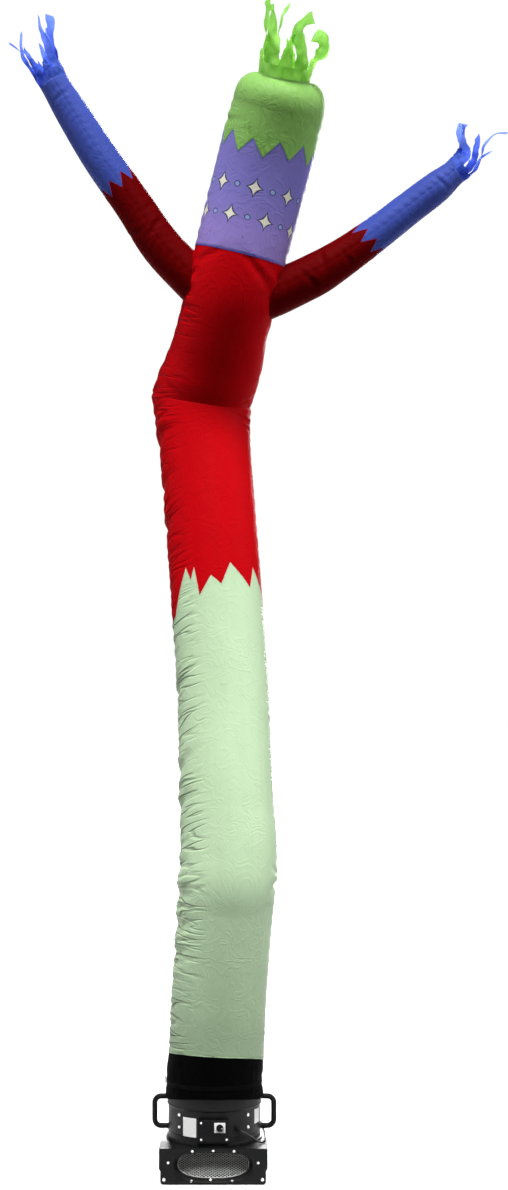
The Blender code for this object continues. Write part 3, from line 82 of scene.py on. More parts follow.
def maths(operation: str, first: bool = True) -> "Callable[..., Term]":
    """A method of Term that adds one Math node.

    Args:
        operation: The node's operation.
        first: Whether the term itself is the first operand.

    Returns:
        The method, which takes the other operands.
    """
    def method(self: "Term", *others: "Term | float") -> "Term":
        """Add the node and return its result."""
        operands = [self, *others] if first else [*others, self]
        return self.graph.add("ShaderNodeMath", {"operation": operation},
                              dict(enumerate(operands)))
    return method


class Term:
    """A shader socket on which Python arithmetic adds Math nodes."""

    def __init__(self, graph: "Graph", socket: bpy.types.NodeSocket) -> None:
        """Hold a socket and the graph that it is part of."""
        self.graph = graph
        self.socket = socket

    __add__ = __radd__ = maths("ADD")
    __sub__ = maths("SUBTRACT")
    __rsub__ = maths("SUBTRACT", first=False)
    __mul__ = __rmul__ = maths("MULTIPLY")
    __truediv__ = maths("DIVIDE")
    __pow__ = maths("POWER")
    __abs__ = maths("ABSOLUTE")
    wave = maths("SINE")
    part = maths("FRACT")
    whole = maths("FLOOR")
    least = maths("MINIMUM")

    def ramp(self, low: float, high: float) -> "Term":
        """Smooth step that goes from 0 at low to 1 at high."""
        return self.graph.add("ShaderNodeMapRange", {"interpolation_type": "SMOOTHSTEP"},
                              {"Value": self, "From Min": low, "From Max": high})


class Graph:
    """Builds one material's node tree."""

    def __init__(self, name: str) -> None:
        """Start an empty material of that name."""
        self.material = bpy.data.materials.new(name)
        self.material.use_nodes = True
        self.tree = self.material.node_tree
        self.tree.nodes.clear()

    def add(self, kind: str, settings: dict | None = None, inputs: dict | None = None,
            output: int | str = 0) -> Term:
        """Add a node: its settings first, then its sockets.

        Args:
            kind: The node's type.
            settings: The node's own attributes and their values.
            inputs: Socket names or numbers, with the value or term for each.
            output: Which output to return.

        Returns:
            The chosen output as a term.
        """
        node = self.tree.nodes.new(kind)
        for key, value in (settings or {}).items():
            setattr(node, key, value)
        for key, value in (inputs or {}).items():
            socket = node.inputs[key]
            if isinstance(value, Term):
                self.tree.links.new(value.socket, socket)
            else:
                socket.default_value = (*value, 1.0) if socket.type == "RGBA" else value
        return Term(self, node.outputs[output])

    def pair(self, x: Term, y: Term) -> Term:
        """A vector of two terms."""
        return self.add("ShaderNodeCombineXYZ", inputs={0: x, 1: y})

    def place(self, cloth: bool) -> tuple[Term, Term, Term, Term]:
        """Coordinates in metres, as a vector and its three parts.

        Args:
            cloth: Whether to read the sheet's own map and not object coordinates.

        Returns:
            The vector, then x, y and z.
        """
        if cloth:
            vector = self.add("ShaderNodeUVMap", {"uv_map": CLOTH_MAP})
        else:
            vector = self.add("ShaderNodeTexCoord", output="Object")
        split = self.add("ShaderNodeSeparateXYZ", inputs={0: vector})
        parts = [Term(self, split.socket.node.outputs[k]) for k in range(3)]
        return vector, parts[0], parts[1], parts[2]

    def noise(self, vector: Term, scale: float, detail: float = 3.0,
              roughness: float = 0.5) -> Term:
        """Noise from 0 to 1 with a fixed scale per metre."""
        return self.add("ShaderNodeTexNoise", inputs={
            "Vector": vector, "Scale": scale, "Detail": detail, "Roughness": roughness})

    def mix(self, share: Term | float, first: Term | Colour, second: Term | Colour) -> Term:
        """Blend two colours by a share."""
        return self.add("ShaderNodeMix", {"data_type": "RGBA"},
                        {0: share, 6: first, 7: second}, 2)

    def bump(self, height: Term, distance: float, strength: float = 1.0,
             below: Term | None = None) -> Term:
        """Turn a height into a normal, on top of another normal."""
        inputs = {"Height": height, "Distance": distance, "Strength": strength}
        if below is not None:
            inputs["Normal"] = below
        return self.add("ShaderNodeBump", inputs=inputs)

    def finish(self, inputs: dict) -> bpy.types.Material:
        """Close the tree with a Principled shader.

        Args:
            inputs: The shader's sockets and their values or terms.

        Returns:
            The finished material.
        """
        return self.close(self.add("ShaderNodeBsdfPrincipled", inputs=inputs))

    def close(self, shader: Term) -> bpy.types.Material:
        """Link a shader to the material's output and return the material."""
        end = self.tree.nodes.new("ShaderNodeOutputMaterial")
        self.tree.links.new(shader.socket, end.inputs["Surface"])
        return self.material


# ----------------------------------------------------------------------- finishes

@dataclass(frozen=True)
class Nylon:
    """Coated nylon: fine weave, soft crinkles and slight unevenness of its dye."""

    name: str
    slot: str
    colour: Colour
    shade: Colour
    roughness: float = 0.50
    sheen: float = 0.06
    specular: float = 0.16
    thread: float = 0.0011
    crinkle: float = 0.0016

    def base(self, graph: Graph) -> tuple[Term, Term, Term, Term]:
        """Uneven dye colour.

        Returns:
            The colour, the cloth vector and its two parts.
        """
        vector, u, v, _ = graph.place(True)
        clouds = graph.noise(vector, 3.1, 4.0)
        streaks = graph.noise(graph.pair(u * 26.0, v * 2.3), 1.0, 3.0)
        colour = graph.mix(clouds.ramp(0.35, 0.75) * 0.45 + streaks.ramp(0.4, 0.75) * 0.25,
                           self.colour, self.shade)
        return colour, vector, u, v

    def relief(self, graph: Graph, vector: Term, u: Term, v: Term) -> Term:
        """Crinkles and weave as a normal."""
        fine = graph.noise(vector, 34.0, 4.0, 0.6)
        creases = graph.add("ShaderNodeTexNoise", {"noise_dimensions": "2D"},
                            {"Vector": vector, "Scale": 11.0, "Detail": 2.0,
                             "Distortion": 1.4})
        ridge = 1.0 - abs(creases * 2.0 - 1.0).ramp(0.0, 0.22)
        crinkles = graph.bump(fine * 0.4 + ridge * 0.6, self.crinkle, 0.55)
        turn = 2.0 * pi / self.thread
        weave = (u * turn).wave() * (v * turn).wave()
        return graph.bump(weave, self.thread * 0.09, 0.5, crinkles)

    def material(self) -> bpy.types.Material:
        """Make the material."""
        graph = Graph(self.name)
        colour, vector, u, v = self.base(graph)
        worn = graph.noise(vector, 8.0, 3.0).ramp(0.45, 0.8)
        return graph.finish({
            "Base Color": self.pattern(graph, colour, u, v),
            "Roughness": worn * 0.10 + self.roughness,
            "Sheen Weight": self.sheen, "Sheen Roughness": 0.45,
            "Specular IOR Level": self.specular,
            "Normal": self.relief(graph, vector, u, v)})

    def pattern(self, graph: Graph, colour: Term, u: Term, v: Term) -> Term:
        """The print on the cloth: none on a plain one."""
        return colour


@dataclass(frozen=True)
class GatheredNylon(Nylon):
    """Nylon of the tube, with creases that run in from its two side seams.

    Its map's u goes once round the tube in its girth.  Creases stand at a rate for
    each metre of height, sweep up away from the seam and reach in from it; gather is
    how far they stand in, depth how much painted shade darkens them, and the last
    three fields how much painted shade darkens the foot, and between which heights.
    """

    girth: float = 1.3961
    rate: float = 21.0
    sweep: float = 0.9
    reach: float = 0.30
    gather: float = 0.0170
    depth: float = 0.70
    # The last three fields set the painted shade at the foot: its share and the heights it fades
    # between.
    foot_shade: float = 0.65
    foot_shade_low: float = 0.45
    foot_shade_high: float = 1.20

    def gathers(self, graph: Graph, u: Term, v: Term) -> Term:
        """Creases: many and long at the left seam, few and short at the right one."""
        turn = (u / self.girth).part()
        left = abs((turn + 0.5).part() - 0.5) * self.girth
        right = abs(turn - 0.5) * self.girth
        swept = v * self.rate - (left / 0.16) ** 0.6 * self.sweep
        lines = graph.noise(graph.pair(u * 3.0, swept), 1.0, 1.5)
        ridge = 1.0 - abs(lines * 2.0 - 1.0).ramp(0.0, 0.13)
        groups = graph.noise(graph.pair(u * 1.5, v * 6.0), 1.0, 2.0)
        near = (1.0 - left.ramp(0.03, self.reach)) + (1.0 - right.ramp(0.01, 0.08)) * 0.6
        return ridge * near * (groups.ramp(0.38, 0.62) * 0.85 + 0.15)

    def relief(self, graph: Graph, vector: Term, u: Term, v: Term) -> Term:
        """The gathers over the cloth's own crinkles and weave."""
        return graph.bump(1.0 - self.gathers(graph, u, v), self.gather, 0.9,
                          super().relief(graph, vector, u, v))

    def pattern(self, graph: Graph, colour: Term, u: Term, v: Term) -> Term:
        """Painted shade deep in the gathered creases, and painted shade low down by the blower."""
        # A darker tone of the cloth, laid on as painted shade.
        painted_shade_tone = tuple(c * 0.42 for c in self.shade)
        # Painted shade: the cloth darkens towards the foot of the tube, fully below the lower height
        # and fading out at the higher.
        dust_and_shade = (1.0 - v.ramp(self.foot_shade_low, self.foot_shade_high)) * self.foot_shade
        dusted_and_shaded = graph.mix(dust_and_shade, colour, painted_shade_tone)
        # Painted shade: the colour darkens along the gathered creases.
        return graph.mix(self.gathers(graph, u, v) * self.depth, dusted_and_shaded, painted_shade_tone)


@dataclass(frozen=True)
class StarNylon(Nylon):
    """Nylon printed with staggered four-pointed stars and dots.

    The rows start at a height, the printed band has its own two heights, and the
    cloth turns lilac towards the neck, between the heights of fade.
    """

    star: Colour = (0.86, 0.84, 0.70)
    outline: Colour = (0.030, 0.028, 0.10)
    accent: Colour = (0.30, 0.40, 0.72)
    pitch_u: float = 0.1745
    pitch_v: float = 0.150
    start_v: float = 4.428
    printed: tuple = (4.398, 4.730)
    star_width: float = 0.044
    star_height: float = 0.052
    dot_radius: float = 0.0150
    rim: float = 0.0012
    lilac: Colour = (0.330, 0.220, 0.560)
    fade: tuple = (4.36, 4.66)

    def pattern(self, graph: Graph, colour: Term, u: Term, v: Term) -> Term:
        """Stars in rows that stand half a pitch aside of the next, dots between."""
        row = ((v - self.start_v) / self.pitch_v).whole()
        shift = (row * 0.5).part()
        x = ((u / self.pitch_u + shift).part() - 0.5) * self.pitch_u
        y = (((v - self.start_v) / self.pitch_v).part() - 0.5) * self.pitch_v
        star = (abs(x) / self.star_width) ** 0.62 + (abs(y) / self.star_height) ** 0.62
        corner_x = self.pitch_u / 2.0 - abs(x)
        dot = (corner_x * corner_x + y * y) ** 0.5
        inside = 1.0 - star.ramp(0.86, 0.90)
        edge = 1.0 - star.ramp(1.05, 1.10)
        colour = graph.mix((1.0 - v.ramp(*self.fade)) * 0.6, colour, self.lilac)
        result = graph.mix(edge, colour, self.outline)
        result = graph.mix(inside, result, self.star)
        for radius, tone in ((self.dot_radius, self.outline),
                             (self.dot_radius * 0.72, self.accent)):
            result = graph.mix(1.0 - dot.ramp(radius, radius + self.rim), result, tone)
        low, high = self.printed
        band = v.ramp(low, low + 0.001) * (1.0 - v.ramp(high, high + 0.001))
        return graph.mix(band, colour, result)


@dataclass(frozen=True)
class BrushedNylon(Nylon):
    """Nylon printed with long uneven brush strokes that run up the cloth."""

    stroke: Colour = (0.150, 0.400, 0.040)
    fade_v: float = 5.010

    def pattern(self, graph: Graph, colour: Term, u: Term, v: Term) -> Term:
        """Strokes that thin out towards the cap."""
        fine = graph.noise(graph.pair(u * 44.0 + v * 16.0, v * 5.0), 1.0, 4.0, 0.6)
        share = fine.ramp(0.48, 0.72) * (1.0 - v.ramp(self.fade_v - 0.10, self.fade_v)) * 0.75
        return graph.mix(share, colour, self.stroke)


@dataclass(frozen=True)
class Ribbon(Nylon):
    """Thin ribbon cloth with lengthwise creases, which light comes through."""

    sheer: float = 0.60
    # Paler tint towards the tips: painted light, standing in for light shining through the thin
    # strips.
    painted_glow_tint: Colour = (0.420, 0.540, 0.950)

    def material(self) -> bpy.types.Material:
        """Make the material; light comes through it a little."""
        graph = Graph(self.name)
        vector, u, v, _ = graph.place(True)
        colour = graph.mix(graph.noise(vector, 14.0, 3.0).ramp(0.3, 0.7), self.colour, self.shade)
        # Painted light: the strips turn paler towards their tips, where light shines through them.
        colour = graph.mix(v.ramp(0.04, 0.22) * 0.7, colour, self.painted_glow_tint)
        ribs = graph.noise(graph.pair(u * 170.0, v * 16.0), 1.0, 2.0)
        shader = graph.add("ShaderNodeBsdfPrincipled", inputs={
            "Base Color": colour, "Roughness": self.roughness,
            "Sheen Weight": self.sheen, "Specular IOR Level": self.specular,
            "Normal": graph.bump(ribs, self.crinkle * 0.4, 0.5)})
        glow = graph.add("ShaderNodeBsdfTranslucent", inputs={"Color": colour})
        return graph.close(graph.add("ShaderNodeMixShader",
                                     inputs={0: self.sheer, 1: shader, 2: glow}))


@dataclass(frozen=True)
class Webbing:
    """Woven strap: twill ribs across its width."""

    name: str
    slot: str
    colour: Colour
    rib: float = 0.0018

    def material(self) -> bpy.types.Material:
        """Make the material."""
        graph = Graph(self.name)
        _, u, v, _ = graph.place(True)
        twill = ((u + v * 0.6) * (2.0 * pi / self.rib)).wave()
        tone = graph.mix(twill.ramp(-0.6, 0.9), tuple(c * 0.55 for c in self.colour), self.colour)
        return graph.finish({"Base Color": tone, "Roughness": 0.82, "Specular IOR Level": 0.03,
                             "Normal": graph.bump(twill, 0.0005, 0.8)})


@dataclass(frozen=True)
class Coat:
    """A hard finish: paint, plastic, zinc or bare label, with grain and wear."""

    name: str
    slot: str
    colour: Colour
    roughness: float
    metallic: float = 0.0
    grain: float = 900.0
    relief: float = 0.00012
    specular: float = 0.5
    dust_and_shade: Colour = (0.20, 0.195, 0.185)
    dustiness: float = 0.12

    def material(self) -> bpy.types.Material:
        """Make the material."""
        graph = Graph(self.name)
        vector, _, _, z = graph.place(False)
        grain = graph.noise(vector, self.grain, 2.0)
        patches = graph.noise(vector, 9.0, 5.0, 0.62)
        low = 1.0 - z.ramp(0.0, 0.14)
        dusted_and_shaded = (patches.ramp(0.48, 0.80) * 0.6 + low * patches.ramp(0.30, 0.75) * 0.9) \
            * self.dustiness
        scuffs = graph.noise(graph.add("ShaderNodeVectorMath", {"operation": "MULTIPLY"},
                                       {0: vector, 1: (18.0, 18.0, 150.0)}), 1.0, 3.0)
        marks = scuffs.ramp(0.66, 0.74) * patches.ramp(0.45, 0.65) * 0.35
        tone = graph.mix(dusted_and_shaded.least(1.0), self.colour, self.dust_and_shade)
        bare = tuple(min(1.0, c * 2.4 + 0.03) for c in self.colour)
        tone = graph.mix(marks * self.dustiness * 2.0, tone, bare)
        return graph.finish({
            "Base Color": tone, "Metallic": self.metallic,
            "Roughness": patches * 0.16 + grain * 0.06 + (self.roughness - 0.11),
            "Specular IOR Level": self.specular,
            "Normal": graph.bump(grain, self.relief, 0.6)})


class Dye(Enum):
    """The cloth colours of the dancer."""

    BLACK = Nylon("black_sleeve_cloth", "black_nylon", (0.0007, 0.0007, 0.0008),
                  (0.0012, 0.0012, 0.0014), 0.70, 0.0, 0.015)
    GREEN = GatheredNylon("pale_green_cloth", "pale_green_nylon", (0.550, 0.735, 0.475),
                          (0.485, 0.668, 0.410))
    RED = GatheredNylon("red_cloth", "red_nylon", (0.560, 0.0004, 0.0040),
                        (0.480, 0.0003, 0.0030), 0.60, 0.0, 0.035, gather=0.0080, depth=0.35)
    # Painted shade: the sleeves' red nylon is a darker copy of the shirt's, standing in for the shade
    # on the arms.
    SLEEVE = Nylon("painted_shade_red_cloth", "red_nylon", (0.135, 0.0001, 0.0008),
                   (0.110, 0.0001, 0.0006), 0.60, 0.0, 0.02)
    LAVENDER = Nylon("lavender_cloth", "lavender_nylon", (0.055, 0.090, 0.430),
                     (0.040, 0.066, 0.350), specular=0.08)
    STARRED = StarNylon("starred_lavender_cloth", "lavender_nylon", (0.235, 0.205, 0.600),
                        (0.190, 0.170, 0.530), specular=0.08)
    LIME = BrushedNylon("lime_cloth", "lime_nylon", (0.270, 0.540, 0.130),
                        (0.225, 0.470, 0.095), crinkle=0.0030)
    THREAD = Nylon("pale_seam_thread", "red_nylon", (0.700, 0.420, 0.400),
                   (0.620, 0.360, 0.340))
    BLUE = Ribbon("blue_ribbon_cloth", "blue_ribbon", (0.060, 0.130, 0.520),
                  (0.220, 0.340, 0.860), 0.50, 0.02, 0.06)
    HAIR = Ribbon("lime_ribbon_cloth", "lime_nylon", (0.660, 0.910, 0.390),
                  (0.340, 0.640, 0.140), 0.50, 0.02, 0.06, painted_glow_tint=(0.480, 0.730, 0.310))
    BRAID = Webbing("strap_webbing", "black_webbing", (0.0022, 0.0022, 0.0026))


class Hard(Enum):
    """The hard finishes of the blower."""

    PAINT = Coat("black_powder_coat", "black_paint", (0.0048, 0.0049, 0.0052), 0.46,
                 specular=0.14, dustiness=0.05)
    PLASTIC = Coat("black_moulding", "black_plastic", (0.0050, 0.0050, 0.0056), 0.50,
                   grain=1400.0, specular=0.10, dustiness=0.05)
    WHITE = Coat("white_moulding", "white_plastic", (0.86, 0.86, 0.84), 0.36, dustiness=0.03)
    ZINC = Coat("bright_zinc_plate", "bright_zinc", (0.78, 0.78, 0.78), 0.30, 1.0, 2200.0,
                0.00004)
    STEEL = Coat("dull_buckle_steel", "buckle_steel", (0.52, 0.52, 0.53), 0.36, 1.0, 1800.0,
                 0.00005)
    WIRE = Coat("grey_guard_wire", "grey_wire", (0.62, 0.63, 0.60), 0.50, 0.1,
                dustiness=0.03)
    LABEL = Coat("bare_label_plate", "bare_label", (0.86, 0.86, 0.84), 0.42, 0.0,
                 dustiness=0.04)
    CORD = Coat("black_cord_sheath", "black_cord", (0.0095, 0.0095, 0.0105), 0.56,
                grain=500.0)


class Wardrobe:
    """Keeps one material for each finish and puts it on pieces."""

    def __init__(self) -> None:
        """Start with nothing made."""
        self._made: dict[str, bpy.types.Material] = {}

    def get(self, choice: Enum) -> bpy.types.Material:
        """The material of a finish, made the first time."""
        finish = choice.value
        if finish.name not in self._made:
            self._made[finish.name] = finish.material()
        return self._made[finish.name]

    def dress(self, piece: bpy.types.Object, choice: Enum, body: str = BODY,
              nodes: Sequence[str] = ()) -> bpy.types.Object:
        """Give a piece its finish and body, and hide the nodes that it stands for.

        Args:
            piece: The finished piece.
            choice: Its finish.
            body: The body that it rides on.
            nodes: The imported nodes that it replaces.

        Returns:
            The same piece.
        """
        piece.data.materials.clear()
        piece.data.materials.append(self.get(choice))
        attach(piece, body)
        if nodes:
            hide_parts(*nodes)
        return piece

    def repaint(self, node: str, choice: Enum) -> None:
        """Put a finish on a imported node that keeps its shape."""
        piece = frame["nodes"][node]
        piece.data.materials.clear()
        piece.data.materials.append(self.get(choice))


# ------------------------------------------------------------------ mesh building

def link(name: str, mesh: bpy.types.Mesh) -> bpy.types.Object:
    """Put a mesh in the scene as a named object at the origin."""
    piece = bpy.data.objects.new(name, mesh)
    bpy.context.scene.collection.objects.link(piece)
    return piece


def soft(mesh: bpy.types.Mesh, angle: float = 40.0) -> bpy.types.Mesh:
    """Shade a mesh smooth except at edges sharper than an angle."""
    mesh.shade_smooth()
    mesh.set_sharp_from_angle(angle=radians(angle))
    return mesh


def solid(name: str, points: Iterable, faces: Iterable, angle: float = 40.0
          ) -> bpy.types.Mesh:
    """Make a mesh with all its faces turned outwards."""
    mesh = bpy.data.meshes.new(name)
    mesh.from_pydata([tuple(p) for p in points], [], [tuple(f) for f in faces])
    work = bmesh.new()
    work.from_mesh(mesh)
    bmesh.ops.recalc_face_normals(work, faces=work.faces)
    if work.calc_volume(signed=True) < 0.0:
        bmesh.ops.reverse_faces(work, faces=work.faces)
    work.to_mesh(mesh)
    work.free()
    return soft(mesh, angle)


def bevelled(piece: bpy.types.Object, width: float, segments: int = 2,
             angle: float = 35.0) -> bpy.types.Object:
    """Round a piece's edges and keep the result as its mesh."""
    step = piece.modifiers.new("rounded", "BEVEL")
    step.width = width
    step.segments = segments
    step.limit_method = "ANGLE"
    step.angle_limit = radians(angle)
    return settled(piece)


def settled(piece: bpy.types.Object) -> bpy.types.Object:
    """Turn a piece's modifiers into its plain mesh."""
    bpy.context.view_layer.update()
    seen = piece.evaluated_get(bpy.context.evaluated_depsgraph_get())
    mesh = bpy.data.meshes.new_from_object(seen)
    piece.modifiers.clear()
    piece.data = mesh
    soft(mesh)
    return piece


def quads(rows: int, columns: int) -> tuple[Array, Array, Array]:
    """The faces between the closed rings of a grid.

    Args:
        rows: How many rings it has.
        columns: How many points each ring has.

    Returns:
        Each face's points, and the row and the column of each of its corners.
    """
    row, column = np.meshgrid(np.arange(rows - 1), np.arange(columns), indexing="ij")
    row, column = row.reshape(-1, 1), column.reshape(-1, 1)
    corner_row = row + np.array((0, 0, 1, 1))
    corner_column = column + np.array((0, 1, 1, 0))
    return corner_row * columns + corner_column % columns, corner_row, corner_column


def grid_solid(name: str, grid: Array, angle: float = 40.0) -> bpy.types.Mesh:
    """A filled solid from a grid of closed rings."""
    rows, columns = grid.shape[:2]
    faces = [range(columns), *quads(rows, columns)[0].tolist(),
             range((rows - 1) * columns, rows * columns)]
    return solid(name, grid.reshape(-1, 3), faces, angle)


def lathe(name: str, profile: Sequence[tuple[float, float]], sides: int,
          angle: float = 30.0) -> bpy.types.Mesh:
    """Turn a closed profile of radius and height round the upright axis."""
    turn = np.arange(sides) * 2.0 * pi / sides
    count = len(profile)
    points = [(r * sin(t), -r * cos(t), z) for t in turn for r, z in profile]
    faces = quads(sides + 1, count)[0] % (sides * count)
    return solid(name, points, faces.tolist(), angle)


def prism(name: str, outline: Sequence[tuple[float, float]], low: float, high: float,
          along: str) -> bpy.types.Mesh:
    """Extrude a closed outline along the y or the z axis."""
    place = {"y": lambda p, q, d: (p, d, q), "z": lambda p, q, d: (p, q, d)}[along]
    return grid_solid(name, np.array([[place(p, q, depth) for p, q in outline]
                                      for depth in (low, high)]))


def wall_normals(grid: Array) -> Array:
    """Outward normals of a grid of rings, from its own rows and columns."""
    round_step = np.roll(grid, -1, axis=1) - np.roll(grid, 1, axis=1)
    up_step = np.gradient(grid, axis=0)
    normals = np.cross(round_step, up_step)
    normals /= np.maximum(np.linalg.norm(normals, axis=2, keepdims=True), TINY)
    from_middle = grid - grid.mean(axis=1, keepdims=True)
    return normals if (normals * from_middle).sum() > 0.0 else -normals


def wall(name: str, grid: Array, thickness: float, across: Array | None = None,
         along: Array | None = None) -> bpy.types.Object:
    """A closed hollow wall of cloth with a map in metres.

    Args:
        name: The piece's name.
        grid: Outer surface, rows of closed rings.
        thickness: The cloth's thickness, laid inwards.
        across: Distance round the tube for each column and the one that closes it.
        along: Distance up the tube for each point of the grid.

    Returns:
        The linked piece.
    """
    rows, columns = grid.shape[:2]
    inward = -wall_normals(grid)
    for row in (0, -1):
        radial = grid[row].mean(axis=0) - grid[row]
        inward[row] = radial / np.linalg.norm(radial, axis=1, keepdims=True)
    points = np.concatenate((grid.reshape(-1, 3), (grid + inward * thickness).reshape(-1, 3)))
    outside = quads(rows, columns)
    first = np.cross(grid[0, 1] - grid[0, 0], grid[1, 0] - grid[0, 0])
    flipped = bool(np.dot(first, grid[0, 0] - grid[0].mean(axis=0)) < 0.0)
    if flipped:
        outside = tuple(part[:, ::-1] for part in outside)
    inner = rows * columns
    parts = [outside, (inner + outside[0][:, ::-1], outside[1][:, ::-1], outside[2][:, ::-1])]
    ring_columns = np.arange(columns)[:, None] + np.array((0, 1, 1, 0))
    for at_row in (0, rows - 1):
        rim = at_row * columns + ring_columns % columns + np.array((inner, inner, 0, 0))
        part = (rim, np.full(rim.shape, at_row), ring_columns)
        if flipped != (at_row == rows - 1):
            part = tuple(p[:, ::-1] for p in part)
        parts.append(part)
    faces, map_rows, map_columns = (np.concatenate(group) for group in zip(*parts))
    map_rows, map_columns = map_rows.ravel(), map_columns.ravel()
    mesh = bpy.data.meshes.new(name)
    mesh.from_pydata(points.tolist(), [], faces.tolist())
    if across is None:
        steps = np.linalg.norm(np.roll(grid, -1, axis=1) - grid, axis=2).mean(axis=0)
        across = np.concatenate(([0.0], np.cumsum(steps)))
    if along is None:
        rises = np.linalg.norm(np.diff(grid, axis=0), axis=2)
        along = np.concatenate((np.zeros((1, columns)), np.cumsum(rises, axis=0)))
    layer = mesh.uv_layers.new(name=CLOTH_MAP)
    flat = np.stack((across[map_columns], along[map_rows, map_columns % columns]), axis=1)
    layer.data.foreach_set("uv", flat.astype(np.float32).ravel())
    mesh.shade_smooth()
    mesh.update()
    return link(name, mesh)


def declare_panel(piece: bpy.types.Object, grid: Array) -> None:
    """Log how many faces a panel of the tube has; the cell areas of its flat cut are worked out but
    not used.
    """
    rises = np.diff(grid, axis=0)
    round_step = np.roll(grid, -1, axis=1) - grid
    cells = np.linalg.norm(np.cross(round_step[:-1], rises), axis=2)
    LOG.info("%s: %d faces", piece.name, len(piece.data.polygons))


# --------------------------------------------------------------- geometry nodes

class Maker:
    """Builds Geometry Nodes trees that lay ribs, stitches and heads along paths."""

    def __init__(self, name: str, sizes: dict[str, float]) -> None:
        """Start a tree with named number inputs.

        Args:
            name: The tree's name.
            sizes: The inputs and their default values.
        """
        self.tree = bpy.data.node_groups.new(name, "GeometryNodeTree")
        face = self.tree.interface
        face.new_socket("Path", in_out="INPUT", socket_type="NodeSocketGeometry")
        self.ids: dict[str, str] = {}
        for size, value in sizes.items():
            socket = face.new_socket(size, in_out="INPUT", socket_type="NodeSocketFloat")
            socket.default_value = value
            self.ids[size] = socket.identifier
        socket = face.new_socket("Finish", in_out="INPUT", socket_type="NodeSocketMaterial")
        self.ids["Finish"] = socket.identifier
        face.new_socket("Result", in_out="OUTPUT", socket_type="NodeSocketGeometry")
        self.given = self.tree.nodes.new("NodeGroupInput").outputs
        self.end = self.tree.nodes.new("NodeGroupOutput")

    def add(self, kind: str, settings: dict | None = None, inputs: dict | None = None
            ) -> bpy.types.Node:
        """Add a node: its settings first, then its sockets' values or links."""
        node = self.tree.nodes.new(kind)
        for key, value in (settings or {}).items():
            setattr(node, key, value)
        for key, value in (inputs or {}).items():
            if isinstance(value, bpy.types.NodeSocket):
                self.tree.links.new(value, node.inputs[key])
            else:
                node.inputs[key].default_value = value
        return node

    def close(self, geometry: bpy.types.NodeSocket) -> None:
        """End the tree in Realize Instances and Set Material."""
        real = self.add("GeometryNodeRealizeInstances", inputs={0: geometry})
        dressed = self.add("GeometryNodeSetMaterial", inputs={
            "Geometry": real.outputs[0], "Material": self.given["Finish"]})
        self.tree.links.new(dressed.outputs[0], self.end.inputs[0])

    def run(self, name: str, path: bpy.types.Mesh, material: bpy.types.Material,
            sizes: dict[str, float]) -> bpy.types.Object:
        """Make a plain mesh by the tree.

        Args:
            name: The piece's name.
            path: Lines or points that it follows.
            material: The finish of the result.
            sizes: Values for the named inputs.

        Returns:
            The linked piece with its modifier gone.
        """
        piece = link(name, path)
        step = piece.modifiers.new("made", "NODES")
        step.node_group = self.tree
        for size, value in sizes.items():
            step[self.ids[size]] = value
        step[self.ids["Finish"]] = material
        return settled(piece)


@cache
def rib_maker() -> Maker:
    """A tree that sweeps a round bead along lines."""
    maker = Maker("bead_along_line", {"Radius": 0.001, "Sides": 6.0})
    curve = maker.add("GeometryNodeMeshToCurve", inputs={"Mesh": maker.given["Path"]})
    sides = maker.add("ShaderNodeMath", {"operation": "ROUND"}, {0: maker.given["Sides"]})
    disc = maker.add("GeometryNodeCurvePrimitiveCircle", inputs={
        "Resolution": sides.outputs[0], "Radius": maker.given["Radius"]})
    swept = maker.add("GeometryNodeCurveToMesh", inputs={
        "Curve": curve.outputs[0], "Profile Curve": disc.outputs[0], "Fill Caps": True})
    maker.close(swept.outputs[0])
    return maker


@cache
def stitch_maker() -> Maker:
    """A tree that sets short threads end to end along lines."""
    maker = Maker("stitches_along_line", {"Pitch": 0.006, "Length": 0.0040, "Radius": 0.0006})
    curve = maker.add("GeometryNodeMeshToCurve", inputs={"Mesh": maker.given["Path"]})
    spaced = maker.add("GeometryNodeCurveToPoints", {"mode": "LENGTH"}, {
        "Curve": curve.outputs[0], "Length": maker.given["Pitch"]})
    thread = maker.add("GeometryNodeMeshCylinder", inputs={
        "Vertices": 5, "Radius": maker.given["Radius"], "Depth": maker.given["Length"]})
    turned = maker.add("FunctionNodeAlignEulerToVector", {"axis": "Z"},
                       {"Vector": spaced.outputs["Tangent"]})
    set_out = maker.add("GeometryNodeInstanceOnPoints", inputs={
        "Points": spaced.outputs["Points"], "Instance": thread.outputs["Mesh"],
        "Rotation": turned.outputs[0]})
    maker.close(set_out.outputs[0])
    return maker


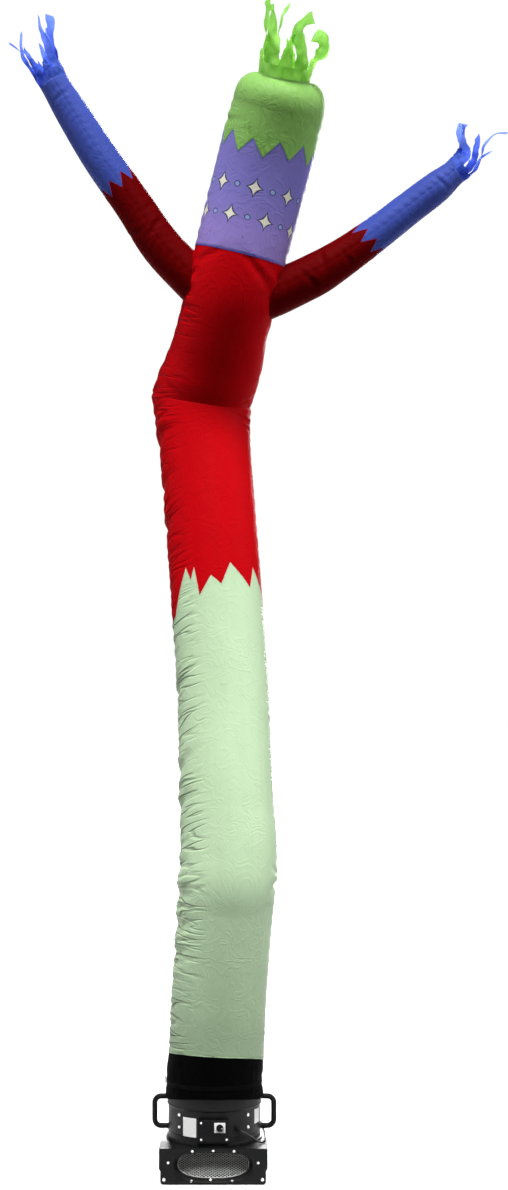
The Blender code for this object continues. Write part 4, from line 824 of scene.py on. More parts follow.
@cache
def head_maker() -> Maker:
    """A tree that sets a domed fastener head on every point, along its normal."""
    maker = Maker("heads_on_points", {"Radius": 0.005, "Height": 0.003})
    dome = maker.add("GeometryNodeMeshUVSphere", inputs={
        "Segments": 16, "Rings": 8, "Radius": maker.given["Radius"]})
    flat = maker.add("ShaderNodeMath", {"operation": "DIVIDE"},
                     {0: maker.given["Height"], 1: maker.given["Radius"]})
    scale = maker.add("ShaderNodeCombineXYZ", inputs={0: 1.0, 1: 1.0, 2: flat.outputs[0]})
    low = maker.add("GeometryNodeTransform", inputs={
        "Geometry": dome.outputs["Mesh"], "Scale": scale.outputs[0]})
    washer = maker.add("GeometryNodeMeshCylinder", inputs={
        "Vertices": 20, "Radius": maker.given["Radius"], "Depth": maker.given["Height"]})
    ring_scale = maker.add("ShaderNodeCombineXYZ", inputs={0: 1.35, 1: 1.35, 2: 0.45})
    ring = maker.add("GeometryNodeTransform", inputs={
        "Geometry": washer.outputs["Mesh"], "Scale": ring_scale.outputs[0]})
    both = maker.add("GeometryNodeJoinGeometry")
    maker.tree.links.new(low.outputs[0], both.inputs[0])
    maker.tree.links.new(ring.outputs[0], both.inputs[0])
    points = maker.add("GeometryNodeMeshToPoints", inputs={"Mesh": maker.given["Path"]})
    facing = maker.add("GeometryNodeInputNamedAttribute", {"data_type": "FLOAT_VECTOR"},
                       {"Name": "facing"})
    turned = maker.add("FunctionNodeAlignEulerToVector", {"axis": "Z"},
                       {"Vector": facing.outputs["Attribute"]})
    set_out = maker.add("GeometryNodeInstanceOnPoints", inputs={
        "Points": points.outputs[0], "Instance": both.outputs[0],
        "Rotation": turned.outputs[0]})
    maker.close(set_out.outputs[0])
    return maker


def path_mesh(name: str, lines: Iterable[Array], closed: bool = False) -> bpy.types.Mesh:
    """A mesh of edges only, one chain for each line of points."""
    points: list = []
    edges: list = []
    for line in lines:
        start = len(points)
        points += [tuple(map(float, p)) for p in line]
        edges += [(k, k + 1) for k in range(start, len(points) - 1)]
        if closed:
            edges.append((len(points) - 1, start))
    mesh = bpy.data.meshes.new(name)
    mesh.from_pydata(points, edges, [])
    return mesh


def point_mesh(name: str, places: Iterable[tuple[Vector, Vector]]) -> bpy.types.Mesh:
    """Loose points that carry the direction that they face."""
    points, directions = zip(*((tuple(p), tuple(n)) for p, n in places))
    mesh = bpy.data.meshes.new(name)
    mesh.from_pydata(points, [], [])
    facing = mesh.attributes.new("facing", "FLOAT_VECTOR", "POINT")
    facing.data.foreach_set("vector", np.array(directions, np.float32).ravel())
    return mesh


def bead(wardrobe: Wardrobe, name: str, lines: Sequence[Array], finish: Enum, radius: float,
         sides: float = 6.0, closed: bool = True, body: str = BODY,
         nodes: Sequence[str] = ()) -> bpy.types.Object:
    """Sweep a dressed bead along lines.

    Args:
        wardrobe: Where its finish comes from.
        name: The piece's name.
        lines: The lines of points that it follows.
        finish: Its finish.
        radius: Half its thickness.
        sides: How many sides its section has.
        closed: Whether each line is a ring.
        body: The body that it rides on.
        nodes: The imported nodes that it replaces.

    Returns:
        The linked piece.
    """
    piece = rib_maker().run(name, path_mesh(name, lines, closed), wardrobe.get(finish),
                            {"Radius": radius, "Sides": sides})
    return wardrobe.dress(piece, finish, body, nodes)


def heads(wardrobe: Wardrobe, name: str, places: Iterable[tuple[Vector, Vector]],
          radius: float, height: float) -> bpy.types.Object:
    """Set zinc fastener heads on places, each with the direction that it faces."""
    piece = head_maker().run(name, point_mesh(name, places), wardrobe.get(Hard.ZINC),
                             {"Radius": radius, "Height": height})
    return wardrobe.dress(piece, Hard.ZINC)


def bearing(degrees: float) -> tuple[Array, Array]:
    """The outward and the sideways vectors at an angle round the blower."""
    turn = radians(degrees)
    return np.array((sin(turn), -cos(turn), 0.0)), np.array((cos(turn), sin(turn), 0.0))


# ------------------------------------------------------------------------- tubes

def smooth_values(knots: Array, values: Array, at: Array) -> Array:
    """Read a smooth curve through a table's rows at the places asked for."""
    at = np.clip(np.asarray(at, float), knots[0], knots[-1])
    slopes = np.gradient(values, knots, axis=0)
    low = np.clip(np.searchsorted(knots, at, side="right") - 1, 0, len(knots) - 2)
    span = (knots[low + 1] - knots[low])[..., None]
    t = ((at - knots[low]) / span[..., 0])[..., None]
    rise = t * t * (3.0 - 2.0 * t)
    return ((1.0 - rise) * values[low] + rise * values[low + 1]
            + span * (t * (1.0 - t) ** 2 * slopes[low] + t * t * (t - 1.0) * slopes[low + 1]))


def smooth_step(low: float, high: float, at: Array) -> Array:
    """0 below low, 1 above high, soft between."""
    t = np.clip((at - low) / (high - low), 0.0, 1.0)
    return t * t * (3.0 - 2.0 * t)


def wrapped(degrees: Array) -> Array:
    """Angles brought between -180 and 180 degrees."""
    return (degrees + 180.0) % 360.0 - 180.0


@dataclass
class Tube:
    """A bent inflated tube: rows of x, y, z and width along its centreline."""

    rows: Sequence[tuple[float, float, float, float]]
    by_height: bool
    knots: Array = field(init=False)
    table: Array = field(init=False)

    def __post_init__(self) -> None:
        """Work out the parameter at every row."""
        self.table = np.array(self.rows, float)
        steps = np.linalg.norm(np.diff(self.table[:, :3], axis=0), axis=1)
        along = np.concatenate(([0.0], np.cumsum(steps)))
        self.knots = self.table[:, 2] if self.by_height else along

    def centre(self, at: Array) -> Array:
        """Points of the centreline."""
        return smooth_values(self.knots, self.table[:, :3], at)

    def radius(self, at: Array) -> Array:
        """Half the tube's width."""
        return smooth_values(self.knots, self.table[:, 3:], at)[..., 0] / 2.0

    def direction(self, at: Array) -> Array:
        """Unit vectors along the centreline."""
        step = 0.004
        at = np.clip(at, self.knots[0] + step, self.knots[-1] - step)
        ahead = self.centre(at + step) - self.centre(at - step)
        return ahead / np.linalg.norm(ahead, axis=-1, keepdims=True)


def across_vectors(direction: Array) -> tuple[Array, Array]:
    """The rightward and backward vectors square to a direction."""
    right = np.cross(np.array((0.0, 1.0, 0.0)), direction)
    right = right / np.linalg.norm(right, axis=-1, keepdims=True)
    return right, np.cross(direction, right)


def front_rise(angles: Array, rise: float) -> Array:
    """An edge that is level round the back and swings up over the front."""
    return rise * np.maximum(0.0, np.cos(np.radians(angles)))


def around(centre: Array, direction: Array, angles: Array, radius: Array | float) -> Array:
    """Points round a centre; an angle of 0 faces the front, 90 the right."""
    right, back = across_vectors(direction)
    turn = np.radians(angles)
    return (centre + (radius * np.sin(turn))[..., None] * right
            - (radius * np.cos(turn))[..., None] * back)


@dataclass(frozen=True)
class Fold:
    """A soft trough with a ridge above it, lying across the tube's wall.

    Angles are in degrees from the front; slant is the rise in metres for each
    degree; reach is how far the fold runs either side of its middle.
    """

    at: float
    angle: float
    reach: float
    depth: float
    width: float
    slant: float = 0.0
    ridge: float = 0.45

    def rise(self, at: Array, angles: Array) -> Array:
        """How far the fold lifts the wall; negative where it draws it in."""
        off = wrapped(angles - self.angle)
        window = np.where(abs(off) < self.reach, np.cos(off / self.reach * pi / 2.0) ** 2, 0.0)
        wander = 0.22 * np.sin(off * 0.11 + self.at * 37.0) + 0.12 * np.sin(off * 0.31 + self.at)
        u = (at - self.at - self.slant * off) / self.width + wander
        return self.depth * window * (self.ridge * np.exp(-((u - 1.7) / 1.1) ** 2)
                                      - np.exp(-u * u))


def fold_rows(rows: Iterable[Sequence[float]]) -> tuple[Fold, ...]:
    """Folds from rows of height, angle and reach, then depth, width and slant in mm."""
    return tuple(Fold(at, angle, reach, *(value / 1000.0 for value in rest))
                 for at, angle, reach, *rest in rows)


@dataclass(frozen=True)
class Pucker:
    """Folds that run out like rays from a place on the tube's wall."""

    at: float
    angle: float
    radius: float
    depth: float
    rays: int
    phase: float = 0.0
    inner: float = 0.02

    def rise(self, at: Array, angles: Array, tube_radius: float) -> Array:
        """How far the rays lift the wall."""
        across = np.radians(wrapped(angles - self.angle)) * tube_radius
        up = at - self.at
        far = np.hypot(across, up)
        turn = np.arctan2(up, across)
        window = smooth_step(self.inner * 0.4, self.inner, far) \
            * (1.0 - smooth_step(self.inner, self.radius, far))
        uneven = 0.6 + 0.4 * np.sin(turn * 2.0 + self.phase * 3.0)
        return self.depth * window * uneven * np.cos(self.rays * turn + self.phase
                                                     + 2.0 * np.sin(turn))


def unevenness(at: Array, angles: Array, seed: float) -> Array:
    """Slow, small swelling of a blown wall, in shares from -1 to 1."""
    turn = np.radians(angles)
    total = np.zeros(np.broadcast(at, angles).shape)
    for k, (round_count, up_rate, share) in enumerate(((2, 3.1, 0.30), (3, 5.3, 0.24),
                                                       (5, 9.7, 0.18), (7, 14.9, 0.14),
                                                       (11, 23.0, 0.08), (4, 31.0, 0.06))):
        total += share * np.sin(round_count * turn + up_rate * at + seed * (k + 1) * 1.7
                                + 1.3 * np.sin(up_rate * 0.37 * at + seed + k))
    return total


# -------------------------------------------------------------------- the dancer

@dataclass
class DancerBody:
    """The main tube: trousers, shirt, head and crown on one bent centreline."""

    wardrobe: Wardrobe
    thickness: float = 0.0012
    seam_gap: float = 0.0006
    sleeve_gap: float = 0.0003
    neck_gap: float = 0.0002
    sleeve_top: float = 0.5356
    sleeve_rise: float = 0.062
    waist: float = 3.691
    kink_reach: float = 0.05
    kink_rows: int = 35
    neck: float = 4.345
    hairline: float = 4.850
    cap_start: float = 5.033
    collar_base: float = 5.165
    collar_radius: float = 0.1240
    collar_lip: float = 0.010
    fold_reach: float = 0.260
    waist_lean: float = 1.15
    column_degrees: float = 2.4
    row_step: float = 0.0085
    map_radius: float = 0.2222
    teeth: int = 22
    tooth: tuple = (-0.050, 0.060)
    swelling: float = 0.0016
    seams: tuple = ((-90.0, 0.0022, 13.0), (90.0, 0.0013, 9.0))
    groove: float = 0.0022
    groove_width: float = 1.6
    vent_gather: float = 0.0030
    lower: Tube = field(default_factory=lambda: Tube((
        (0.000, 0.000, 0.448, 0.448), (0.008, 0.000, 0.534, 0.449),
        (0.020, -0.030, 0.784, 0.448), (0.053, -0.108, 1.263, 0.454),
        (0.062, -0.125, 1.381, 0.462), (0.068, -0.118, 1.497, 0.455),
        (0.058, -0.085, 1.728, 0.446), (0.042, 0.010, 2.196, 0.436),
        (0.010, 0.107, 2.675, 0.440), (-0.029, 0.210, 3.165, 0.443),
        (-0.051, 0.268, 3.410, 0.447), (-0.075, 0.335, 3.691, 0.478)), True))
    upper: Tube = field(default_factory=lambda: Tube((
        (-0.075, 0.335, 3.691, 0.478), (-0.047, 0.290, 3.764, 0.480),
        (-0.004, 0.222, 3.867, 0.466), (0.038, 0.118, 4.027, 0.438),
        (0.078, 0.052, 4.170, 0.440), (0.121, 0.020, 4.345, 0.444),
        (0.162, 0.010, 4.506, 0.448), (0.211, -0.016, 4.693, 0.448),
        (0.269, -0.070, 4.910, 0.446), (0.305, -0.116, 5.037, 0.438),
        (0.331, -0.172, 5.165, 0.436)), True))
    ragged_hem: tuple = (
        (-92.0, 2.575), (-64.0, 2.615), (-37.0, 2.822), (-31.0, 2.758), (-25.0, 2.817),
        (-20.0, 2.679), (-4.0, 2.769), (8.0, 2.724), (21.0, 2.825), (48.0, 2.712),
        (57.0, 2.812), (68.0, 2.755), (90.0, 2.650), (106.0, 2.800), (122.0, 2.700),
        (140.0, 2.860), (156.0, 2.735), (174.0, 2.825), (191.0, 2.705), (208.0, 2.845),
        (225.0, 2.715), (246.0, 2.790))
    folds: tuple = fold_rows((
        (1.030, -84, 58, 11, 26, 1.2), (1.160, -82, 62, 12, 28, 1.3), (1.300, -86, 66, 12, 26, 1.2),
        (1.372, 92, 40, 14, 22, 0), (1.430, -90, 50, 9, 26, 0.6), (1.720, -86, 60, 10, 28, 1.2),
        (1.890, -84, 62, 11, 28, 1.3), (2.260, -86, 58, 10, 28, 1.1), (3.060, -84, 58, 10, 30, 1.1),
        (3.260, -84, 52, 9, 28, 0.9), (3.475, -82, 62, 12, 30, 1.2), (0.585, -80, 46, 4.5, 10, 1),
        (0.700, -84, 40, 5, 12, 1.1), (0.790, -80, 34, 4, 10, 1.2), (0.905, -84, 44, 5.5, 12, 1.2),
        (0.985, -78, 52, 5, 11, 1.5), (1.085, -80, 60, 6, 12, 1.4), (1.125, -74, 40, 4, 9, 1.8),
        (1.205, -80, 50, 5.5, 11, 1.4), (1.245, -76, 44, 4.5, 10, 1.7), (1.345, -82, 56, 5, 11, 1.3),
        (1.385, -74, 36, 4, 9, 1.6), (1.545, -82, 46, 5, 12, 1), (1.630, -84, 34, 3.5, 10, 0.9),
        (1.800, -82, 44, 4.5, 12, 1.2), (1.985, -82, 30, 3.5, 10, 1), (2.215, -80, 44, 5, 11, 1.4),
        (2.335, -80, 48, 5, 12, 1.3), (2.430, -84, 36, 4, 10, 1), (2.500, -80, 40, 4.5, 11, 1.2),
        (2.640, -82, 36, 4.5, 11, 1.3), (2.760, -80, 44, 5, 12, 1.4), (2.905, -84, 38, 4.5, 11, 1.3),
        (3.150, -80, 42, 5, 12, 1.3), (3.345, -80, 40, 4.5, 11, 1.2), (3.555, -78, 50, 4, 13, 1.6),
        (3.620, -70, 44, 3.2, 12, 1.8), (1.330, 86, 34, 6, 11, 1.2), (1.425, 84, 30, 5, 11, -1.4),
        (0.620, 84, 26, 4, 10, -1), (0.655, 80, 22, 3, 9, -1.2), (2.100, 92, 26, 3, 12, -0.8),
        (2.930, 90, 26, 3.5, 12, -1), (3.590, 74, 44, 6, 12, -1.2), (3.520, 84, 34, 4.5, 12, -1),
        (3.775, -60, 46, 3, 16, -1.6), (3.830, -76, 36, 2.4, 15, -1.4), (3.905, -84, 30, 2, 14, -1),
        (3.760, 72, 40, 3.4, 14, 1.4), (3.850, 84, 30, 2.6, 14, 1), (4.280, 34, 46, 6, 20, -2),
        (4.300, -44, 40, 4.5, 18, 1.6), (4.400, 84, 40, 3.5, 12, 0.6), (4.560, -84, 34, 3, 12, 0.8),
        (4.700, 86, 34, 3, 12, -0.6), (4.930, -70, 40, 4, 14, 0.6), (4.980, 80, 36, 4, 14, -0.8),
        (1.110, 168, 60, 6, 16, 0.6), (1.950, 190, 50, 5, 16, -0.6), (2.620, 170, 46, 4.5, 16, 0.5),
        (3.300, 186, 50, 5.5, 16, 0.6), (3.640, 178, 70, 4, 20, 0.4), (4.060, 184, 44, 4.5, 16, -0.7)))
    puckers: tuple = (
        Pucker(4.200, -92.0, 0.190, 0.0055, 9, 0.4, 0.105),
        Pucker(4.185, 88.0, 0.200, 0.0060, 9, 1.1, 0.110),
        Pucker(3.690, -88.0, 0.150, 0.0060, 7, 0.2, 0.020),
        Pucker(3.690, 84.0, 0.140, 0.0055, 7, 0.9, 0.020))

    def hem(self, angles: Array) -> Array:
        """Height of the ragged hem at some angles."""
        table = np.array(self.ragged_hem, float)
        closed = np.vstack((table, (table[0, 0] + 360.0, table[0, 1])))
        turned = (angles - closed[0, 0]) % 360.0 + closed[0, 0]
        return np.interp(turned, closed[:, 0], closed[:, 1])

    def columns(self) -> Array:
        """Angles of the columns: every hem point, and more between them."""
        angles = [a for a, _ in self.ragged_hem]
        found: list[float] = []
        for this, following in zip(angles, angles[1:] + [angles[0] + 360.0]):
            pieces = max(1, ceil((following - this) / self.column_degrees))
            found += [this + (following - this) * k / pieces for k in range(pieces)]
        return np.array(found)

    def surface(self, z: Array, angles: Array, out: float = 0.0) -> Array:
        """Outer surface of the blown tube.

        Args:
            z: Heights on the centreline.
            angles: Degrees from the front, of the same shape.
            out: Extra distance outwards.

        Returns:
            Points, one for each height and angle.
        """
        z, angles = np.broadcast_arrays(np.asarray(z, float), np.asarray(angles, float))
        below = z < self.waist - JUST
        low_z, high_z = np.minimum(z, self.waist), np.maximum(z, self.waist)
        choose = below[..., None]
        centre = np.where(choose, self.lower.centre(low_z), self.upper.centre(high_z))
        radius = np.where(below, self.lower.radius(low_z), self.upper.radius(high_z))
        direction = np.where(choose, self.lower.direction(low_z), self.upper.direction(high_z))
        away = np.linalg.norm(centre - self.lower.centre(np.array(self.waist)), axis=-1)
        share = np.clip(1.0 - away / self.fold_reach, 0.0, 1.0)
        fold, twist = self.waist_fold()
        plane = direction * (1.0 - share[..., None]) + fold * share[..., None]
        level = around(np.zeros(3), direction, angles + np.where(below, 0.0, twist * share),
                       radius + out + self.relief(z, angles))
        tilt = (level * plane).sum(axis=-1) / (direction * plane).sum(axis=-1)
        return centre + level - direction * tilt[..., None]

    def waist_fold(self) -> tuple[Array, float]:
        """The fold's plane at the waist, and the turn between the two halves' angles."""
        at = np.array(self.waist)
        low, high = self.lower.direction(at), self.upper.direction(at)
        hinge = np.cross(low, high)
        places = []
        for direction in (low, high):
            right, back = across_vectors(direction)
            places.append(np.degrees(np.arctan2(hinge @ right, -(hinge @ back))))
        plane = low + high * self.waist_lean
        return plane / np.linalg.norm(plane), places[1] - places[0]

    def relief(self, z: Array, angles: Array) -> Array:
        """Folds, puckers and slow swelling of the wall."""
        total = self.swelling * unevenness(z, angles, 0.7)
        for fold in self.folds:
            total = total + fold.rise(z, angles)
        for pucker in self.puckers:
            total = total + pucker.rise(z, angles, 0.22)
        return total + self.seam_relief(z, angles)

    def seam_relief(self, z: Array, angles: Array) -> Array:
        """Short gathers along the two upright seams."""
        total = np.zeros(z.shape)
        for seam, depth, reach in self.seams:
            off = wrapped(angles - seam)
            wave = np.sin(z * 118.0 + 2.2 * np.sin(z * 9.0) + abs(off) * 0.12)
            strength = 0.35 + 0.65 * np.sin(z * 5.1 + seam) ** 2
            total += depth * strength * wave * np.exp(-(off / reach) ** 2)
            total -= self.groove * np.exp(-(off / self.groove_width) ** 2)
        return total

    def rows_between(self, low: Array, high: Array, first: float, last: float,
                     low_rows: int, high_rows: int) -> Array:
        """Row heights for every column: blended at both ends, level between.

        Args:
            low: Height of the lower edge at each column.
            high: Height of the upper edge at each column.
            first: Where the level rows start.
            last: Where they end.
            low_rows: Rows of the lower blend.
            high_rows: Rows of the upper blend.

        Returns:
            Heights, rows by columns.
        """
        rows = [low + (first - low) * k / low_rows for k in range(low_rows)]
        count = max(2, ceil((last - first) / self.row_step))
        rows += [np.full(low.shape, first + (last - first) * k / count)
                 for k in range(count + (1 if high_rows == 0 else 0))]
        if high_rows:
            rows += [last + (high - last) * k / high_rows for k in range(high_rows + 1)]
        return np.array(rows)

    def sheet(self, name: str, heights: Array, angles: Array, dye: Dye,
              rests_on: Sequence[str], nodes: Sequence[str], top: Array | None = None
              ) -> bpy.types.Object:
        """Make and dress one panel of the tube, and log its faces."""
        grid = self.surface(heights, np.broadcast_to(angles, heights.shape))
        if top is not None:
            grid = np.concatenate((grid, top))
            heights = np.concatenate((heights, heights[-1] + np.cumsum(
                np.linalg.norm(np.diff(grid[-len(top) - 1:], axis=0), axis=2), axis=0)))
        across = np.radians(np.append(angles, angles[0] + 360.0) - angles[0]) * self.map_radius
        piece = wall(name, grid, self.thickness, across, heights)
        self.wardrobe.dress(piece, dye, nodes=nodes)
        declare_panel(piece, grid)
        return piece

    def sleeve_edge(self, angles: Array) -> Array:
        """Height of the black sleeve's upper edge, which swings up over the front."""
        return self.sleeve_top + front_rise(angles, self.sleeve_rise)

    def trousers(self) -> bpy.types.Object:
        """Pale green leg of the tube, up to the ragged hem."""
        angles = self.columns()
        hem = self.hem(angles) - self.seam_gap
        low = self.sleeve_edge(angles) + self.sleeve_gap
        heights = self.rows_between(low, hem, max(low) + 0.02, min(hem) - 0.03, 4, 26)
        return self.sheet("trouser_cloth", heights, angles, Dye.GREEN,
                          ["sleeve_cloth"], ["trouser_panel"])

    def shirt(self) -> bpy.types.Object:
        """Red shirt, from the ragged hem over the kink to the neck."""
        angles = self.columns()
        hem = self.hem(angles) + self.seam_gap
        start = max(hem) + 0.03
        neck = np.full(angles.shape, self.neck - self.neck_gap)
        fold_low, fold_high = self.waist - self.kink_reach, self.waist + self.kink_reach
        kink = np.linspace(fold_low, fold_high, self.kink_rows)[:-1, None]
        heights = np.concatenate((
            self.rows_between(hem, neck, start, fold_low, 26, 0)[:-1],
            np.broadcast_to(kink, (len(kink), len(angles))),
            self.rows_between(np.full(angles.shape, fold_high), neck,
                              fold_high + 0.01, self.neck - 0.02, 2, 3)))
        return self.sheet("shirt_cloth", heights, angles, Dye.RED,
                          ["trouser_cloth"], ["shirt_panel"])

    def head_edge(self, angles: Array) -> Array:
        """Height of the zigzag hairline at some angles."""
        return self.hairline + zigzag(angles, self.teeth, *self.tooth)

    def head_columns(self) -> Array:
        """Columns of the head: six from each corner of the hairline to the next."""
        return np.arange(self.teeth * 6) * 360.0 / (self.teeth * 6)

    def head(self) -> bpy.types.Object:
        """Lavender head, from the neck seam to the zigzag hairline."""
        angles = self.head_columns()
        line = self.head_edge(angles) - self.seam_gap
        low = np.full(angles.shape, self.neck + self.neck_gap)
        heights = self.rows_between(low, line, self.neck + 0.02, min(line) - 0.02, 3, 14)
        return self.sheet("head_cloth", heights, angles, Dye.STARRED,
                          ["shirt_cloth"], ["head_panel"])

    def crown(self) -> bpy.types.Object:
        """Green crown: the band above the hairline and the domed cap."""
        angles = self.head_columns()
        line = self.head_edge(angles) + self.seam_gap
        high = np.full(angles.shape, self.cap_start)
        heights = self.rows_between(line, high, max(line) + 0.02, self.cap_start, 14, 0)
        return self.sheet("crown_cloth", heights, angles, Dye.LIME, ["head_cloth"],
                          ["crown_panel"], self.dome(angles))

    def dome(self, angles: Array) -> Array:
        """Rings of the domed cap, up to the collar's lip, puckered near the lip."""
        base, axis = self.vent()
        start = np.array(self.cap_start)
        foot, start_axis = self.upper.centre(start), self.upper.direction(start)
        reach = float(np.linalg.norm(base - foot)) - self.collar_lip
        drop = float(self.upper.radius(start)) - self.collar_radius
        relief = self.relief(np.full(angles.shape, self.cap_start), angles)
        turn = np.radians(angles)
        rings = []
        for share in 1.0 - (1.0 - np.linspace(0.0, 1.0, 26)[1:-1]) ** 1.5:
            blend = start_axis + (axis - start_axis) * share
            blend = blend / np.linalg.norm(blend)
            radius = self.collar_radius + drop * (1.0 - share ** 2.6) ** (1.0 / 1.9)
            gathers = self.vent_gather * share ** 2 * np.sin(turn * 27.0
                                                             + 1.5 * np.sin(turn * 4.0))
            centre = foot + (base - axis * self.collar_lip - foot) * share
            rings.append(around(centre, blend, angles,
                                radius + relief * (1.0 - share) + gathers))
        centre = foot + (base - foot) / np.linalg.norm(base - foot) * reach
        for height in (0.002, 0.0055, self.collar_lip - 0.0003):
            rings.append(around(centre + axis * height, axis, angles,
                                np.full(len(angles), self.collar_radius)))
        return np.array(rings)

    def vent(self) -> tuple[Array, Array]:
        """Foot of the vent collar and the direction that it points."""
        return (self.upper.centre(np.array(self.collar_base)),
                self.upper.direction(np.array(self.collar_base - 0.004)))

    def depth_inside(self, points: Array) -> Array:
        """How far points lie inside the torso and head; negative outside."""
        lowest = self.waist + 0.12
        z = np.clip(points[..., 2], lowest, self.cap_start)
        for _ in range(12):
            off = points - self.upper.centre(z)
            z = np.clip(z + (off * self.upper.direction(z)).sum(axis=-1) * 0.9,
                        lowest, self.cap_start)
        off = points - self.upper.centre(z)
        along = (off * self.upper.direction(z)).sum(axis=-1, keepdims=True)
        side = np.linalg.norm(off - along * self.upper.direction(z), axis=-1)
        return self.upper.radius(z) - side


def zigzag(angles: Array, columns: int, low: float, high: float) -> Array:
    """Offsets of an uneven zigzag edge, straight between its corners."""
    corners = []
    for column in range(columns):
        swing = 0.5 + 0.5 * sin(2.3 * column + 0.6)
        corners.append(high * (0.62 + 0.38 * swing) if column % 2
                       else low * (0.55 + 0.45 * swing))
    corners.append(corners[0])
    return np.interp(np.asarray(angles) % 360.0,
                     np.arange(columns + 1) * 360.0 / columns, corners)


@dataclass
class DancerArm:
    """One arm: a red sleeve and a lavender forearm that meet in a zigzag seam."""

    wardrobe: Wardrobe
    side: str
    tube: Tube
    ragged_seam: float
    cuff: float
    folds: tuple
    seed: float
    thickness: float = 0.0012
    columns: int = 96
    map_radius: float = 0.09
    teeth: int = 16
    tooth: tuple = (-0.034, 0.052)
    seam_gap: float = 0.0004
    root_between: tuple = (0.03, 0.42)
    root_gap: float = 0.0008

    def angles(self) -> Array:
        """Angles of the columns."""
        return np.arange(self.columns) * 360.0 / self.columns

    def surface(self, at: Array, angles: Array) -> Array:
        """Outer surface of the arm at distances from its first row."""
        relief = 0.0010 * unevenness(at, angles, self.seed)
        for fold in self.folds:
            relief = relief + fold.rise(at, angles)
        for seam in (0.0, 180.0):
            off = wrapped(angles - seam)
            wave = np.sin(at * 150.0 + 2.0 * np.sin(at * 11.0) + abs(off) * 0.1)
            relief = relief + (0.0011 * wave * np.exp(-(off / 20.0) ** 2)
                               - 0.0016 * np.exp(-(off / 4.0) ** 2))
        return around(self.tube.centre(at), self.tube.direction(at), angles,
                      self.tube.radius(at) + relief)

    def root(self, body: DancerBody, angles: Array) -> Array:
        """Distance at which every column leaves the torso."""
        near, far = (np.full(angles.shape, at) for at in self.root_between)
        for _ in range(30):
            middle = (near + far) / 2.0
            outside = body.depth_inside(self.surface(middle, angles)) < -self.root_gap
            far = np.where(outside, middle, far)
            near = np.where(outside, near, middle)
        return far

    def sheet(self, name: str, places: Array, dye: Dye, rests_on: str, node: str
              ) -> bpy.types.Object:
        """Make and dress one panel of the arm, and log its faces."""
        angles = self.angles()
        grid = self.surface(places, np.broadcast_to(angles, places.shape))
        piece = wall(name, grid, self.thickness,
                     np.radians(np.append(angles, 360.0)) * self.map_radius, places)
        self.wardrobe.dress(piece, dye, nodes=[node])
        declare_panel(piece, grid)
        return piece

    def edge(self, angles: Array) -> Array:
        """Distance of the zigzag seam at some angles."""
        return self.ragged_seam + zigzag(angles, self.teeth, *self.tooth)

    def build(self, body: DancerBody) -> None:
        """Make both panels."""
        angles = self.angles()
        root = self.root(body, angles)
        edge = self.edge(angles)
        share = np.linspace(0.0, 1.0, 84)[:, None] ** 1.1
        self.sheet(self.side + "_sleeve_cloth", root + (edge - self.seam_gap - root) * share,
                   Dye.SLEEVE, "shirt_cloth", self.side + "_sleeve")
        share = np.linspace(0.0, 1.0, 78)[:, None]
        start = edge + self.seam_gap
        self.sheet(self.side + "_forearm_cloth", start + (self.cuff - 0.0003 - start) * share,
                   Dye.LAVENDER, self.side + "_sleeve_cloth", self.side + "_forearm")


@dataclass(frozen=True)
class Strip:
    """One strip of a fringe.

    Its angle round the collar, its length, tip width against the root, then lean
    inwards and sway sideways in degrees at half length and at the tip, and the
    twist at the tip.
    """

    angle: float
    length: float
    tip: float
    lean_mid: float
    lean_end: float
    sway_mid: float
    sway_end: float
    twist: float


def strip_rows(rows: Iterable[Sequence[float]]) -> tuple[Strip, ...]:
    """Strips from the rows of a table."""
    return tuple(Strip(*row) for row in rows)


def turned(vector: Vector, axis: Vector, degrees: float) -> Vector:
    """Turn a vector about an axis."""
    return Matrix.Rotation(radians(degrees), 3, axis) @ vector


